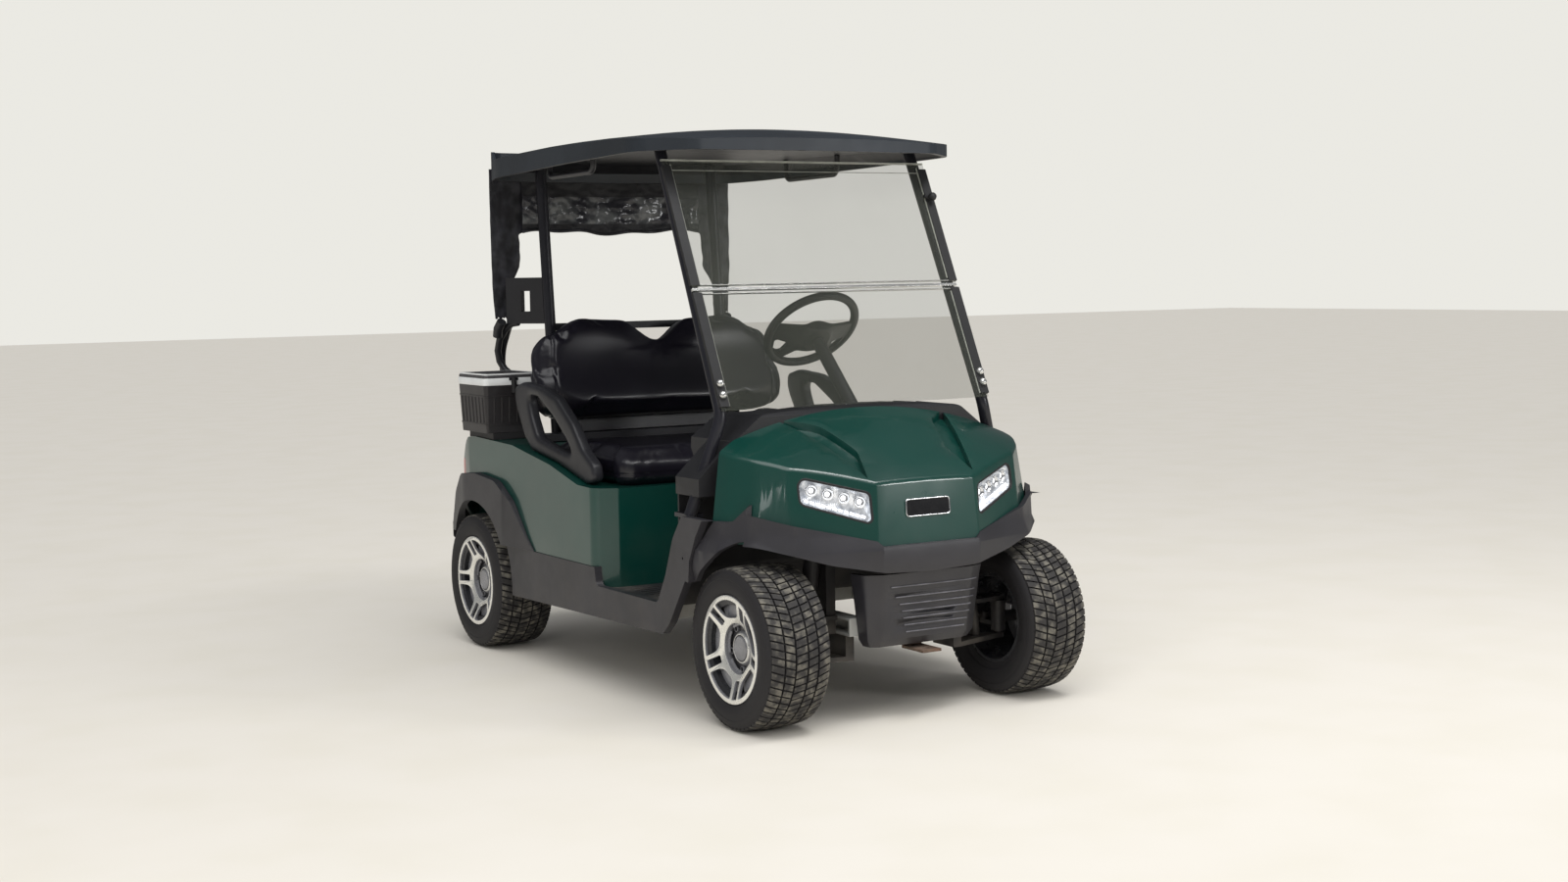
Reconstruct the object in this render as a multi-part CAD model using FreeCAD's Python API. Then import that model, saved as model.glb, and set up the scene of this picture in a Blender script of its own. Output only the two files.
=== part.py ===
import FreeCAD, Part
import math
import os

# Two-seat golf cart, in millimetres.
# Origin: on the ground under the middle of the cart. +Z is up, the front faces -Y, +X is the left side.

# Overall and running gear
cart_length = 2336.0
cart_height = 1716.0
wheelbase = 1664.0
front_axle_y = -939.0
axle_height = 229.0
front_half_track = 444.0
rear_half_track = 500.0
tyre_radius = 229.0
tyre_half_width = 96.0
tread_groove_depth = 7.0
tread_groove_width = 8.0
rim_flange_radius = 143.0
rim_barrel_radius = 131.0
rim_barrel_wall = 6.0
rim_face_offset = 84.0
spoke_count = 5
spoke_thickness = 20.0
hub_radius = 38.0
hub_ring_radius = 70.0
hub_ring_wall = 8.0
cap_radius = 31.0
lug_hole_radius = 9.0
fork_half = 26.0
fork_arm = 10.0
bead_gap = 1.2
hub_bore_radius = 17.0
kingpin_x = 385.0
kingpin_radius = 13.0
steering_arm_length = 70.0
tie_rod_height = 226.0
tie_rod_radius = 9.0

# Clearances
seat_gap = 0.3
pin_gap = 0.5

# Chassis
rail_x = 188.0
rail_width = 50.0
rail_bottom = 245.0
rail_depth = 52.0
rail_front = -1045.0
rail_rise = 80.0
rail_end_rise = 33.0
floor_thickness = 13.0
floor_front = -560.0
firewall_y = -645.0
firewall_top = 660.0
panel_wall = 8.0

# Body
sill_bottom_front = 232.0
sill_bottom_rear = 209.0
sill_top = 320.0
body_bottom = 376.0
body_half_width = 575.0
flare_stand = 25.0
front_arch_radius = 272.0
flare_seam_z = 407.0
rear_arch_radius = 276.0
kick_panel_y = -200.0
cushion_bottom = 614.0
bumper_front = -1150.0
bumper_crease_z = 495.0
bumper_wall = 16.0
skirt_top = 424.0
hood_wall = 8.0
scoop_depth = 22.0

# Roof and posts
roof_wall = 9.0
roof_lip_wall = 12.0
roof_depth_front = 89.0
roof_depth_rear = 125.0
roof_ceiling_depth = 61.0
roof_lip_depth = 25.0
post_radius = 18.0
rear_post_x = 333.0
rear_post_radius = 19.0
rear_post_lean = 0.0885
rear_post_foot_y = 560.0
glass_thickness = 5.0
glass_half_width = 466.0

# Dash, tow hole and bag well
cup_x = 290.0
cup_y = -618.0
cup_radius = 41.0
cup_floor = 770.0
tow_hole_y = -1112.0
tow_hole_radius = 10.0
well_half = 404.0
well_front = 622.0
well_top = 705.0
body_rear_inset = 178.0
well_rear_inset = 166.0
rail_rear_inset = 88.0

# Seat
seat_side_margin = 75.0
seat_pivot_y = 362.0
seat_pivot_z = 640.0
seat_swing_room = 40.0
seat_pin_radius = 5.0
seat_back_lean = 12.0
seat_pad_thickness = 104.0
seat_pad_round = 24.0
deck_wall = 8.0

# Cooler
cooler_front = 585.0
cooler_rear = 820.0
cooler_low = 742.0
cooler_rim = 902.0
cooler_high = 941.0
cooler_wall = 12.0
cooler_corner = 16.0
cooler_draft = 9.0
cooler_pin_radius = 3.0

rear_axle_y = front_axle_y + wheelbase
rail_top = rail_bottom + rail_depth
floor_top = rail_top + floor_thickness
floor_half = body_half_width - 20.0
firewall_half = body_half_width - 40.0
flare_half_width = body_half_width + flare_stand
seat_half_width = body_half_width - seat_side_margin
cushion_low = cushion_bottom + seat_gap
cushion_round = seat_pivot_z - cushion_low
seat_rear = seat_pivot_y + cushion_round
bay_rear = seat_rear + seat_swing_room
cart_rear = cart_length / 2
body_rear = cart_rear - body_rear_inset
well_rear = cart_rear - well_rear_inset
rail_rear = cart_rear - rail_rear_inset
roof_low_front = cart_height - roof_depth_front
roof_low_rear = cart_height - roof_depth_rear
roof_ceiling = cart_height - roof_ceiling_depth
roof_lip_height = cart_height - roof_lip_depth
cooler_outer = -flare_half_width
cooler_inner = -(well_half + 1.0)
rail_inner = rail_x - rail_width / 2
rail_outer = rail_x + rail_width / 2

Vector = FreeCAD.Vector


# Placing points of a flat outline in one of the three main planes
def place(plane, u, v, level):
    if plane == "XY":
        return Vector(u, v, level)
    if plane == "XZ":
        return Vector(u, level, v)
    return Vector(level, u, v)


# A closed wire through flat points (u, v) or (u, v, corner radius)
def outline(points, plane, level):
    count = len(points)
    corners = []
    for i in range(count):
        before = Vector(points[i - 1][0], points[i - 1][1], 0)
        here = Vector(points[i][0], points[i][1], 0)
        after = Vector(points[(i + 1) % count][0], points[(i + 1) % count][1], 0)
        radius = points[i][2] if len(points[i]) > 2 else 0
        if radius == 0:
            corners.append((here, None, here))
            continue
        back = (before - here).normalize()
        ahead = (after - here).normalize()
        half = back.getAngle(ahead) / 2
        reach = radius / math.tan(half)
        middle = (back + ahead).normalize()
        bulge = here + middle * (radius / math.sin(half) - radius)
        corners.append((here + back * reach, bulge, here + ahead * reach))
    edges = []
    for i in range(count):
        start, bulge, end = corners[i]
        if bulge is not None:
            arc = [place(plane, p.x, p.y, level) for p in (start, bulge, end)]
            edges.append(Part.Arc(arc[0], arc[1], arc[2]).toShape())
        following = corners[(i + 1) % count][0]
        if (following - end).Length > 1e-6:
            first = place(plane, end.x, end.y, level)
            second = place(plane, following.x, following.y, level)
            edges.append(Part.LineSegment(first, second).toShape())
    return Part.Wire(edges)


# A flat outline pushed from one level to another along the plane's normal
def prism(points, plane, start, end):
    face = Part.Face(outline(points, plane, start))
    travel = place(plane, 0, 0, end - start)
    return face.extrude(travel)


def block(x0, x1, y0, y1, z0, z1):
    return Part.makeBox(x1 - x0, y1 - y0, z1 - z0, Vector(x0, y0, z0))


def cylinder(radius, start, end):
    run = end - start
    return Part.makeCylinder(radius, run.Length, start, run)


def mirrored(shape):
    return shape.mirror(Vector(0, 0, 0), Vector(1, 0, 0))


# Right half points (x, y or z) closed to a full outline that is the same on both sides
def full_outline(half):
    left = [(-p[0],) + tuple(p[1:]) for p in reversed(half) if p[0] > 0]
    return list(half) + left


# The same outline moved inward by a distance, corner by corner
def inset(points, distance):
    count = len(points)
    area = 0
    for i in range(count):
        here, after = points[i], points[(i + 1) % count]
        area += here[0] * after[1] - after[0] * here[1]
    turn = 1 if area > 0 else -1
    moved = []
    for i in range(count):
        before, here, after = points[i - 1], points[i], points[(i + 1) % count]
        in_run = Vector(here[0] - before[0], here[1] - before[1], 0).normalize()
        out_run = Vector(after[0] - here[0], after[1] - here[1], 0).normalize()
        in_normal = Vector(-in_run.y, in_run.x, 0) * turn
        out_normal = Vector(-out_run.y, out_run.x, 0) * turn
        split = (in_normal + out_normal).normalize()
        shift = split * (distance / split.dot(in_normal))
        point = (here[0] + shift.x, here[1] + shift.y)
        if len(here) > 2:
            convex = in_run.cross(out_run).z * turn > 0
            radius = here[2] - distance if convex else here[2] + distance
            point += (max(radius, 4.0),)
        moved.append(point)
    return moved


# A body through level outlines, a table of (z, inset) rows about one plan outline
def stacked(plan, rows, extra=0.0, drop=0.0):
    pieces = []
    for (low, low_inset), (high, high_inset) in zip(rows, rows[1:]):
        bottom = outline(inset(plan, low_inset + extra), "XY", low - drop)
        top = outline(inset(plan, high_inset + extra), "XY", high - drop)
        pieces.append(Part.makeLoft([bottom, top], True, True))
    return united(pieces)


def united(pieces):
    if len(pieces) == 1:
        return pieces[0]
    return pieces[0].multiFuse(pieces[1:]).removeSplitter()


# A round bar along straight runs joined by tangent arcs; points are (x, y, z, bend radius)
def bar(points, radius):
    edges = []
    last = Vector(*points[0][:3])
    for i in range(1, len(points) - 1):
        before = Vector(*points[i - 1][:3])
        here = Vector(*points[i][:3])
        after = Vector(*points[i + 1][:3])
        back = (before - here).normalize()
        ahead = (after - here).normalize()
        half = back.getAngle(ahead) / 2
        bend = points[i][3]
        reach = bend / math.tan(half)
        start = here + back * reach
        end = here + ahead * reach
        bulge = here + (back + ahead).normalize() * (bend / math.sin(half) - bend)
        edges.append(Part.LineSegment(last, start).toShape())
        edges.append(Part.Arc(start, bulge, end).toShape())
        last = end
    edges.append(Part.LineSegment(last, Vector(*points[-1][:3])).toShape())
    path = Part.Wire(edges)
    heading = Vector(*points[1][:3]) - Vector(*points[0][:3])
    section = Part.Wire(Part.makeCircle(radius, Vector(*points[0][:3]), heading))
    return path.makePipeShell([section], True, False)


def save(node, *solids):
    shape = solids[0] if len(solids) == 1 else Part.makeCompound(list(solids))
    found = len(shape.Solids)
    print("%-20s solids %2d  valid %s  volume %.0f" % (node, found, shape.isValid(), shape.Volume))
    shape.exportStep("parts/%s.step" % node)


# Chassis: two long channel rails that rise over the rear axle
def frame_rails():
    high = rail_top + rail_rise
    end_top = rail_top + rail_end_rise
    upper = [(rail_front, rail_top), (520.0, rail_top), (600.0, high), (870.0, high), (925.0, end_top),
             (rail_rear, end_top)]
    lower = [(rail_rear, end_top - rail_depth), (905.0, end_top - rail_depth), (850.0, high - rail_depth),
             (620.0, high - rail_depth), (540.0, rail_bottom), (rail_front, rail_bottom)]
    side = upper + lower
    rail = prism(side, "YZ", rail_inner, rail_outer)
    channel = prism(inset(side, 8.0), "YZ", rail_inner + 10.0, rail_outer + 1.0)
    rail = rail.cut(channel)
    return rail, mirrored(rail)


# Cross members, butted against the rails; columns: front y, depth, half length, bottom, top
def frame_crossmembers():
    end_top = rail_top + rail_end_rise
    reach = floor_half - 15.0
    rows = [(rail_front, 40.0, rail_inner, rail_bottom, rail_top),
            (-480.0, 50.0, reach, rail_bottom, rail_top),
            (-190.0, 50.0, reach, rail_bottom, rail_top),
            (330.0, 50.0, reach, rail_bottom, rail_top),
            (rear_post_foot_y - 25.0, 50.0, rear_post_x + 14.0, rail_bottom, rail_top),
            (rail_rear - 95.0, 40.0, 400.0, end_top - rail_depth, end_top)]
    pieces = []
    for y, depth, half, bottom, top in rows:
        pieces.append(block(-rail_inner, rail_inner, y, y + depth, bottom, top))
        if half > rail_outer:
            outrigger = block(rail_outer, half, y, y + depth, bottom, top)
            pieces += [outrigger, mirrored(outrigger)]
    return pieces


# Floor pan with its ribbed mat, turned up into the toe board and the firewall
def floor_pan():
    rise = 110.0
    under = rail_top
    rear = kick_panel_y + 160.0
    profile = [(rear, under), (rear, floor_top), (floor_front, floor_top, 30.0),
               (firewall_y, floor_top + rise, 30.0), (firewall_y, firewall_top),
               (firewall_y - panel_wall, firewall_top),
               (firewall_y - panel_wall, floor_top + rise - 4.0, 35.0),
               (floor_front - 6.0, under, 35.0)]
    pan = prism(profile, "YZ", -floor_half, floor_half)
    clear_of_flare = block(firewall_half, floor_half + 1.0, firewall_y - 20.0, floor_front,
                           flare_seam_z, firewall_top)
    pan = pan.cut(clear_of_flare).cut(mirrored(clear_of_flare))
    groove_count = 9
    pitch = 32.0
    margin = 60.0
    for i in range(groove_count):
        start = floor_front + 40.0 + i * pitch
        groove = block(margin - floor_half, floor_half - margin, start, start + 12.0, floor_top - 4.0,
                       floor_top + 1.0)
        pan = pan.cut(groove)
    return pan


def rear_wheel_arch(radius):
    return cylinder(radius, Vector(250, rear_axle_y, axle_height), Vector(700, rear_axle_y, axle_height))


def front_wheel_arch(radius):
    return cylinder(radius, Vector(235, front_axle_y, axle_height), Vector(700, front_axle_y, axle_height))


# Seam between the front flare and the sill's branch, from the arch up to the cowl
flare_seam = [(-779.0, 400.0), (-786.0, 460.0), (-823.0, 531.0), (-862.0, 582.0), (-905.0, 622.0)]
seam_width = 4.0


# Sills under the doorway, with the branch that rises to the foot of the front post
def sills():
    outer = body_half_width + 4.0
    inner = floor_half + seat_gap
    top = body_bottom - seat_gap
    profile = [(-618.0, sill_bottom_front, 12.0), (520.0, sill_bottom_rear), (520.0, top),
               (kick_panel_y + 22.0, top), (kick_panel_y + 12.0, sill_top, 20.0), (-590.0, sill_top, 25.0),
               (-642.0, 406.0), (-690.0, 517.0, 90.0), (-745.0, 585.0, 30.0), (-800.0, 612.0),
               (-900.0, 622.0)]
    profile += list(reversed(flare_seam[:-1])) + [(-760.0, 402.0), (-664.0, 270.0, 40.0)]
    side = prism(profile, "YZ", inner, outer).cut(rear_wheel_arch(rear_arch_radius))
    side = side.cut(front_post(post_radius + seat_gap))
    slot = cylinder(4.0, Vector(inner - 1.0, -748.0, 466.0), Vector(outer + 1.0, -748.0, 466.0))
    side = side.cut(slot)
    return side, mirrored(side)


# Cowl: the green front moulding, a tapered plan cut by a rising crowned hood
hood_rows = [(-1200.0, 626.0, 22.0), (-1121.0, 682.0, 30.0), (-1001.0, 764.0, 42.0), (-900.0, 824.0, 60.0),
             (-806.0, 870.0, 80.0), (-700.0, 914.0, 100.0)]
cowl_low_plan = [(0.0, -1141.0), (174.0, -1139.0, 20.0), (386.0, -1056.0, 30.0),
                 (body_half_width - 87.0, -968.0, 150.0), (body_half_width - 35.0, -890.0, 150.0),
                 (body_half_width - 13.0, -800.0, 200.0), (body_half_width - 13.0, -700.0)]
cowl_high_plan = [(0.0, -1111.0), (163.0, -1110.0, 20.0), (390.0, -1004.0, 40.0),
                  (body_half_width - 125.0, -945.0, 120.0), (body_half_width - 83.0, -880.0, 120.0),
                  (body_half_width - 67.0, -800.0, 160.0), (body_half_width - 67.0, -700.0)]
fender_crest_z = 640.0
fender_crest_round = 20.0
cowl_low_z = 470.0
cowl_rear = -806.0
cowl_high_z = 760.0


# The solid under a smooth crowned surface; rows are y, height on the centre line, drop at x = 450
def crowned(rows, low, lowered=0.0):
    half = 640.0
    sections = []
    for y, height, drop in rows:
        side_z = height - lowered - drop * (half / 450.0) ** 2
        crown = Part.Arc(Vector(-half, y, side_z), Vector(0, y, height - lowered), Vector(half, y, side_z))
        corners = [Vector(half, y, side_z), Vector(half, y, low), Vector(-half, y, low),
                   Vector(-half, y, side_z)]
        edges = [crown.toShape()]
        for start, end in zip(corners, corners[1:]):
            edges.append(Part.LineSegment(start, end).toShape())
        sections.append(Part.Wire(edges))
    return Part.makeLoft(sections, True, False)


def hood_form(lowered):
    return crowned(hood_rows, 300.0, lowered)


# Tapered sides of the cowl as a solid
def cowl_sides(wall):
    low = outline(inset(full_outline(cowl_low_plan), wall), "XY", cowl_low_z)
    rise = 1.45
    high_points = []
    for low_point, high_point in zip(cowl_low_plan, cowl_high_plan):
        x = low_point[0] + (high_point[0] - low_point[0]) * rise
        y = low_point[1] + (high_point[1] - low_point[1]) * rise
        high_points.append((x, y) + tuple(low_point[2:]))
    top_z = cowl_low_z + (cowl_high_z - cowl_low_z) * rise
    high = outline(inset(full_outline(high_points), wall), "XY", top_z)
    return Part.makeLoft([low, high], True, True)


# The two long edges where the hood turns down to the fenders
def crest_edges(form):
    found = []
    for edge in form.Edges:
        low = edge.BoundBox.ZMin
        middle = edge.CenterOfMass
        if low > fender_crest_z and middle.y > -1030.0 and 380.0 < abs(middle.x) < 560.0:
            if edge.Curve.TypeId == "Part::GeomBSplineCurve" and edge.BoundBox.YLength > 1.0:
                found.append(edge)
    return found


def cowl_form(wall):
    form = cowl_sides(wall).common(hood_form(wall))
    form = form.makeFillet(fender_crest_round - wall, crest_edges(form))
    scoop_plan = [(180.0, -1098.0), (150.0, -1000.0, 40.0), (196.0, -870.0, 80.0), (292.0, -790.0)]
    scoop = prism(inset(scoop_plan, -wall), "XY", 400.0, 1000.0).cut(hood_form(wall + scoop_depth))
    return form.cut(scoop).cut(mirrored(scoop))


lamp_inner = Vector(183.0, -1131.0, 0)
lamp_outer = Vector(375.0, -1056.0, 0)


# Headlamp outline on the slanting front of the cowl; columns: share along the lamp, z, corner radius
def lamp_prism(shrink, front, back):
    rows = [(0.0, 566.0, 14.0), (0.03, 655.0, 20.0), (1.02, 704.0, 22.0), (0.99, 627.0, 22.0)]
    along = (lamp_outer - lamp_inner)
    length = along.Length
    along = along.normalize()
    facing = Vector(along.y, -along.x, 0)
    flat = inset([(share * length, z, radius) for share, z, radius in rows], shrink)
    face = Part.Face(outline(flat, "XZ", 0))
    turn = math.degrees(math.atan2(along.y, along.x))
    face.rotate(Vector(0, 0, 0), Vector(0, 0, 1), turn)
    face.translate(lamp_inner + facing * front)
    return face.extrude(facing * (back - front))


def cowl():
    shell = cowl_form(0.0).cut(cowl_form(hood_wall))
    rear_plan = [(0.0, cowl_rear), (440.0, cowl_rear), (620.0, cowl_rear - 74.0), (620.0, -600.0),
                 (0.0, -600.0)]
    shell = shell.cut(prism(full_outline(rear_plan), "XY", 300, 1000))
    arch = front_wheel_arch(front_arch_radius + 18.0)
    shell = shell.cut(arch).cut(mirrored(arch))
    for lamp in (lamp_prism(0.0, 60.0, -80.0), mirrored(lamp_prism(0.0, 60.0, -80.0))):
        shell = shell.cut(lamp)
    return shell


def headlamps():
    lamp = lamp_prism(seat_gap, 40.0, -55.0).common(cowl_form(3.0))
    return lamp, mirrored(lamp)


# Front bumper with the front wheel flares, one black moulding
bumper_plan = [(0.0, bumper_front), (165.0, bumper_front, 22.0), (400.0, -1072.0, 60.0),
               (body_half_width - 79.0, -992.0, 150.0), (body_half_width - 27.0, -905.0, 150.0),
               (body_half_width - 7.0, -840.0, 150.0), (body_half_width, -740.0, 100.0),
               (body_half_width, -560.0)]


def front_bumper():
    rows = [(380.0, 22.0), (436.0, 3.0), (bumper_crease_z, 0.0), (534.0, 16.0), (680.0, 22.0)]
    plan = full_outline(bumper_plan)
    band = stacked(plan, rows).cut(stacked(plan, rows, bumper_wall)).cut(cowl_sides(-seat_gap))
    front_view = [(0.0, skirt_top + seat_gap), (150.0, 431.0, 100.0), (300.0, 459.0, 300.0),
                  (480.0, 513.0, 200.0), (640.0, 530.0), (640.0, 665.0), (572.0, 637.0),
                  (548.0, 620.0, 40.0), (400.0, 573.0, 300.0), (176.0, 521.0), (160.0, 506.0), (0.0, 506.0)]
    front = band.common(prism(full_outline(front_view), "XZ", -1200.0, -960.0))
    seam = [(y - seam_width, z) for y, z in flare_seam]
    side_view = seam + [(-925.0, 630.0), (-960.0, 640.0), (-960.0, 300.0), (seam[0][0], 300.0)]
    arch = prism([(-961.0, 528.0), (-945.0, 528.0, 60.0), (-905.0, 504.0, 60.0), (seam[0][0], 402.0),
                  (seam[0][0], 200.0), (-961.0, 200.0)], "YZ", -700.0, 700.0)
    sides = band.common(prism(side_view, "YZ", -700.0, 700.0)).cut(arch)
    return united([front, sides])


# Lower front skirt, an open-backed box with grille slots
def front_skirt():
    back = rail_front - seat_gap
    front = -1132.0
    plan = full_outline([(0.0, front), (150.0, front + 2.0, 60.0), (206.0, front + 28.0, 25.0),
                         (212.0, back + 40.0), (0.0, back + 40.0)])
    rows = [(215.0, 40.0), (236.0, 26.0), (394.0, 6.0), (skirt_top, 0.0)]
    skirt = stacked(plan, rows)
    wall = 12.0
    hollow_rows = [(215.0 + wall, 28.0 + wall), (394.0, 6.0 + wall), (skirt_top + 10.0, 6.0 + wall)]
    skirt = skirt.cut(stacked(plan, hollow_rows))
    skirt = skirt.cut(block(-240.0, 240.0, back, back + 60.0, 200.0, skirt_top + 20.0))
    rib_count = 6
    pitch = 19.5
    for i in range(rib_count):
        z = 266.0 + i * pitch
        half = 104.0 + 6.0 * i
        lean = 22.0 - 20.0 * (z - 236.0) / (394.0 - 236.0)
        skirt = skirt.cut(block(-half, half, front - 10.0, front + lean + 5.0, z, z + 9.0))
    return skirt


# Tow bracket: a bent plate under the front cross member, with a pin hole
def tow_bracket():
    half = 32.0
    plate = 8.0
    profile = [(rail_front + 40.0, rail_bottom), (rail_front, rail_bottom), (rail_front, 202.0),
               (-1142.0, 202.0), (-1142.0, 202.0 - plate), (rail_front + plate, 202.0 - plate),
               (rail_front + plate, rail_bottom - plate), (rail_front + 40.0, rail_bottom - plate)]
    bracket = prism(profile, "YZ", -half, half)
    return bracket.cut(cylinder(tow_hole_radius, Vector(0, tow_hole_y, 150.0), Vector(0, tow_hole_y, 230.0)))


# Dash: the black cabin moulding behind the cowl, with cup holders, bins and a shoulder at each post
def dash():
    front = cowl_rear + seat_gap
    profile = [(front, firewall_top + seat_gap), (front, 858.0), (-770.0, 880.0, 12.0), (-640.0, 872.0),
               (-560.0, 850.0, 20.0), (-548.0, 760.0, 30.0), (-610.0, firewall_top + seat_gap, 20.0)]
    half = 436.0
    end_view = full_outline([(0.0, 640.0), (half, 640.0), (half, 792.0), (345.0, 862.0, 60.0), (0.0, 884.0)])
    body = prism(profile, "YZ", -half, half).common(prism(end_view, "XZ", -900.0, -500.0))
    for x in (-cup_x, cup_x):
        body = body.cut(cylinder(cup_radius, Vector(x, cup_y, cup_floor), Vector(x, cup_y, 900.0)))
    for x in (-165.0, 165.0):
        body = body.cut(block(x - 62.0, x + 62.0, -700.0, -590.0, 790.0, 900.0))
    body = body.cut(block(-92.0, 92.0, -680.0, -500.0, 700.0, 790.0))
    back = firewall_y - panel_wall - seat_gap
    outer = body_half_width - 30.0
    shoulder = prism([(half, 640.0), (outer, 640.0), (outer, 690.0), (470.0, 760.0, 20.0), (half, 790.0)],
                     "XZ", -790.0, back)
    shoulder = shoulder.cut(front_post(post_radius + seat_gap))
    return united([body, shoulder, mirrored(shoulder)])


def pedals():
    pieces = []
    level = floor_top + 134.0
    arm_half = 8.0
    # columns: middle x, half width, height
    for x, half, height in [(205.0, 42.0, 62.0), (312.0, 28.0, 96.0)]:
        low = level - height / 2
        high = level + height / 2
        pad = prism([(-572.0, low), (-580.0, low - 6.0), (-602.0, high), (-594.0, high + 6.0)], "YZ",
                    x - half, x + half)
        arm = block(x - arm_half, x + arm_half, firewall_y + seat_gap, -588.0,
                    level - arm_half, level + arm_half)
        pieces.append(united([pad, arm]))
    return pieces


# Height of the rear body's top edge at a place along the cart
body_top = [(-230.0, 614.0), (-60.0, 620.0), (139.0, 668.0), (429.0, 712.0), (body_rear - 250.0, 723.0),
            (body_rear - 155.0, 716.0)]


def body_top_z(y):
    for (y0, z0), (y1, z1) in zip(body_top, body_top[1:]):
        if y0 <= y <= y1:
            return z0 + (z1 - z0) * (y - y0) / (y1 - y0)
    return body_top[-1][1]


def rear_body_side(drop, low, front):
    crest = [(y, z - drop) for y, z in body_top[1:-1]]
    tail = [(body_rear - 155.0, 716.0 - drop, 90.0), (body_rear - 85.0, 600.0 - drop, 60.0),
            (body_rear + 20.0, 560.0 - drop), (body_rear + 20.0, low)]
    return [(front, low), (front, body_top[0][1] - drop)] + crest + tail


rear_plan = [(0.0, kick_panel_y), (seat_half_width, kick_panel_y, 20.0),
             (body_half_width, kick_panel_y + 34.0, 40.0), (body_half_width, body_rear - 190.0),
             (body_half_width - 23.0, body_rear - 70.0, 120.0),
             (body_half_width - 105.0, body_rear - 5.0, 60.0),
             (0.0, body_rear)]


def rear_body_form(wall, low):
    plan = prism(inset(full_outline(rear_plan), wall), "XY", low, 800.0)
    front = kick_panel_y - 30.0
    side = prism(rear_body_side(wall, low, front), "YZ", -flare_half_width, flare_half_width)
    return plan.common(side)


def tail_lamp_prism(shrink, start, end):
    front = body_rear - 128.0
    flat = inset([(front, 566.0, 12.0), (front + 63.0, 572.0, 12.0), (front + 50.0, 640.0, 12.0),
                  (front - 4.0, 640.0, 12.0)], shrink)
    return prism(flat, "YZ", start, end)


# Pin that the seat cushion turns on, level across the cart
def seat_pin(radius, start, end):
    from_point = Vector(start, seat_pivot_y, seat_pivot_z)
    return cylinder(radius, from_point, Vector(end, seat_pivot_y, seat_pivot_z))


# Rear body: the green moulding from the kick panel under the seat round both rear quarters
def rear_body():
    low = floor_top + seat_gap
    outer = rear_body_form(0.0, low)
    inner = rear_body_form(panel_wall, low - 20.0)
    bay_half = seat_half_width + 3.0
    bay = block(-bay_half, bay_half, -300.0, bay_rear, cushion_bottom, 800.0)
    under_bay = block(-bay_half - deck_wall, bay_half + deck_wall, -300.0, bay_rear + deck_wall,
                      cushion_bottom - deck_wall, 800.0)
    shell = outer.cut(bay).cut(inner.cut(under_bay))
    hatch_half = seat_half_width - 75.0
    shell = shell.cut(block(-hatch_half, hatch_half, -140.0, 330.0, 560.0, 700.0))
    shell = shell.cut(block(-well_half - seat_gap, well_half + seat_gap, well_front - seat_gap, 1100.0, 300.0,
                            800.0))
    arch = rear_wheel_arch(rear_arch_radius + 24.0)
    shell = shell.cut(arch).cut(mirrored(arch))
    shell = shell.cut(block(-700, 700, kick_panel_y + 24.0, 1100, 300, body_bottom))
    pin = seat_pin(seat_pin_radius, seat_half_width - 12.0, bay_half + 2.0)
    shell = united([shell, pin, mirrored(pin)])
    for post in rear_posts(rear_post_radius + seat_gap):
        shell = shell.cut(post)
    lamp = tail_lamp_prism(0.0, body_half_width - 50.0, flare_half_width)
    return shell.cut(lamp).cut(mirrored(lamp))


def tail_lamps():
    lamp = tail_lamp_prism(seat_gap, body_half_width - 30.0, flare_half_width)
    lamp = lamp.common(rear_body_form(0.0, 320.0))
    return lamp, mirrored(lamp)


# Rear flares over the wheels
def rear_flares():
    profile = [(267.0, body_bottom), (318.0, 418.0, 60.0), (420.0, 528.0, 120.0), (530.0, 588.0, 120.0),
               (700.0, 602.0), (840.0, 590.0, 90.0), (935.0, 520.0, 90.0), (1000.0, 400.0),
               (1000.0, body_bottom)]
    plan = [(body_half_width - 22.0, 200.0), (body_half_width + 3.0, 240.0), (flare_half_width, 480.0, 200.0),
            (flare_half_width, 800.0, 200.0), (body_half_width - 15.0, 1000.0),
            (body_half_width - 75.0, 1000.0),
            (body_half_width - 23.0, 800.0)]
    flare = prism(profile, "YZ", body_half_width - 95.0, flare_half_width + 20.0)
    flare = flare.cut(rear_wheel_arch(rear_arch_radius))
    flare = flare.common(prism(plan, "XY", 300.0, 700.0))
    body = prism(inset(full_outline(rear_plan), -seat_gap), "XY", 300.0, 760.0)
    flare = flare.cut(body)
    return flare, mirrored(flare)


# Rear bumper and step, one hollow moulding on the ends of the rails
def rear_bumper():
    low = rail_top + rail_end_rise
    front = well_rear + seat_gap
    plan = full_outline([(0.0, cart_rear), (330.0, cart_rear - 10.0, 60.0),
                         (body_half_width - 70.0, cart_rear - 78.0, 80.0), (body_half_width - 15.0, front),
                         (0.0, front)])
    rows = [(low, 14.0), (low + 20.0, 0.0), (405.0, 0.0), (420.0, 10.0)]
    outer = stacked(plan, rows)
    hollow = prism(inset(plan, 30.0), "XY", low - 5.0, 400.0)
    return outer.cut(hollow)


# Bag well: the tray behind the seat back that the bags stand in
def bag_well():
    floor = rail_top + rail_rise
    top = well_top
    inner = well_half - panel_wall
    profile = [(-well_half, floor), (well_half, floor), (well_half, top), (inner, top),
               (inner, floor + panel_wall), (-inner, floor + panel_wall), (-inner, top), (-well_half, top)]
    tray = prism(profile, "XZ", well_front, well_rear)
    lowered = prism([(well_rear - 182.0, 800.0), (well_rear + 98.0, 800.0), (well_rear + 98.0, 470.0),
                     (well_rear - 42.0, 520.0)], "YZ", -500.0, 500.0)
    back = block(-well_half, well_half, well_front, well_front + panel_wall, floor, top)
    return united([tray.cut(lowered), back])


def battery_pack():
    return block(-330.0, 330.0, -110.0, 320.0, floor_top, floor_top + 260.0)


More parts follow.
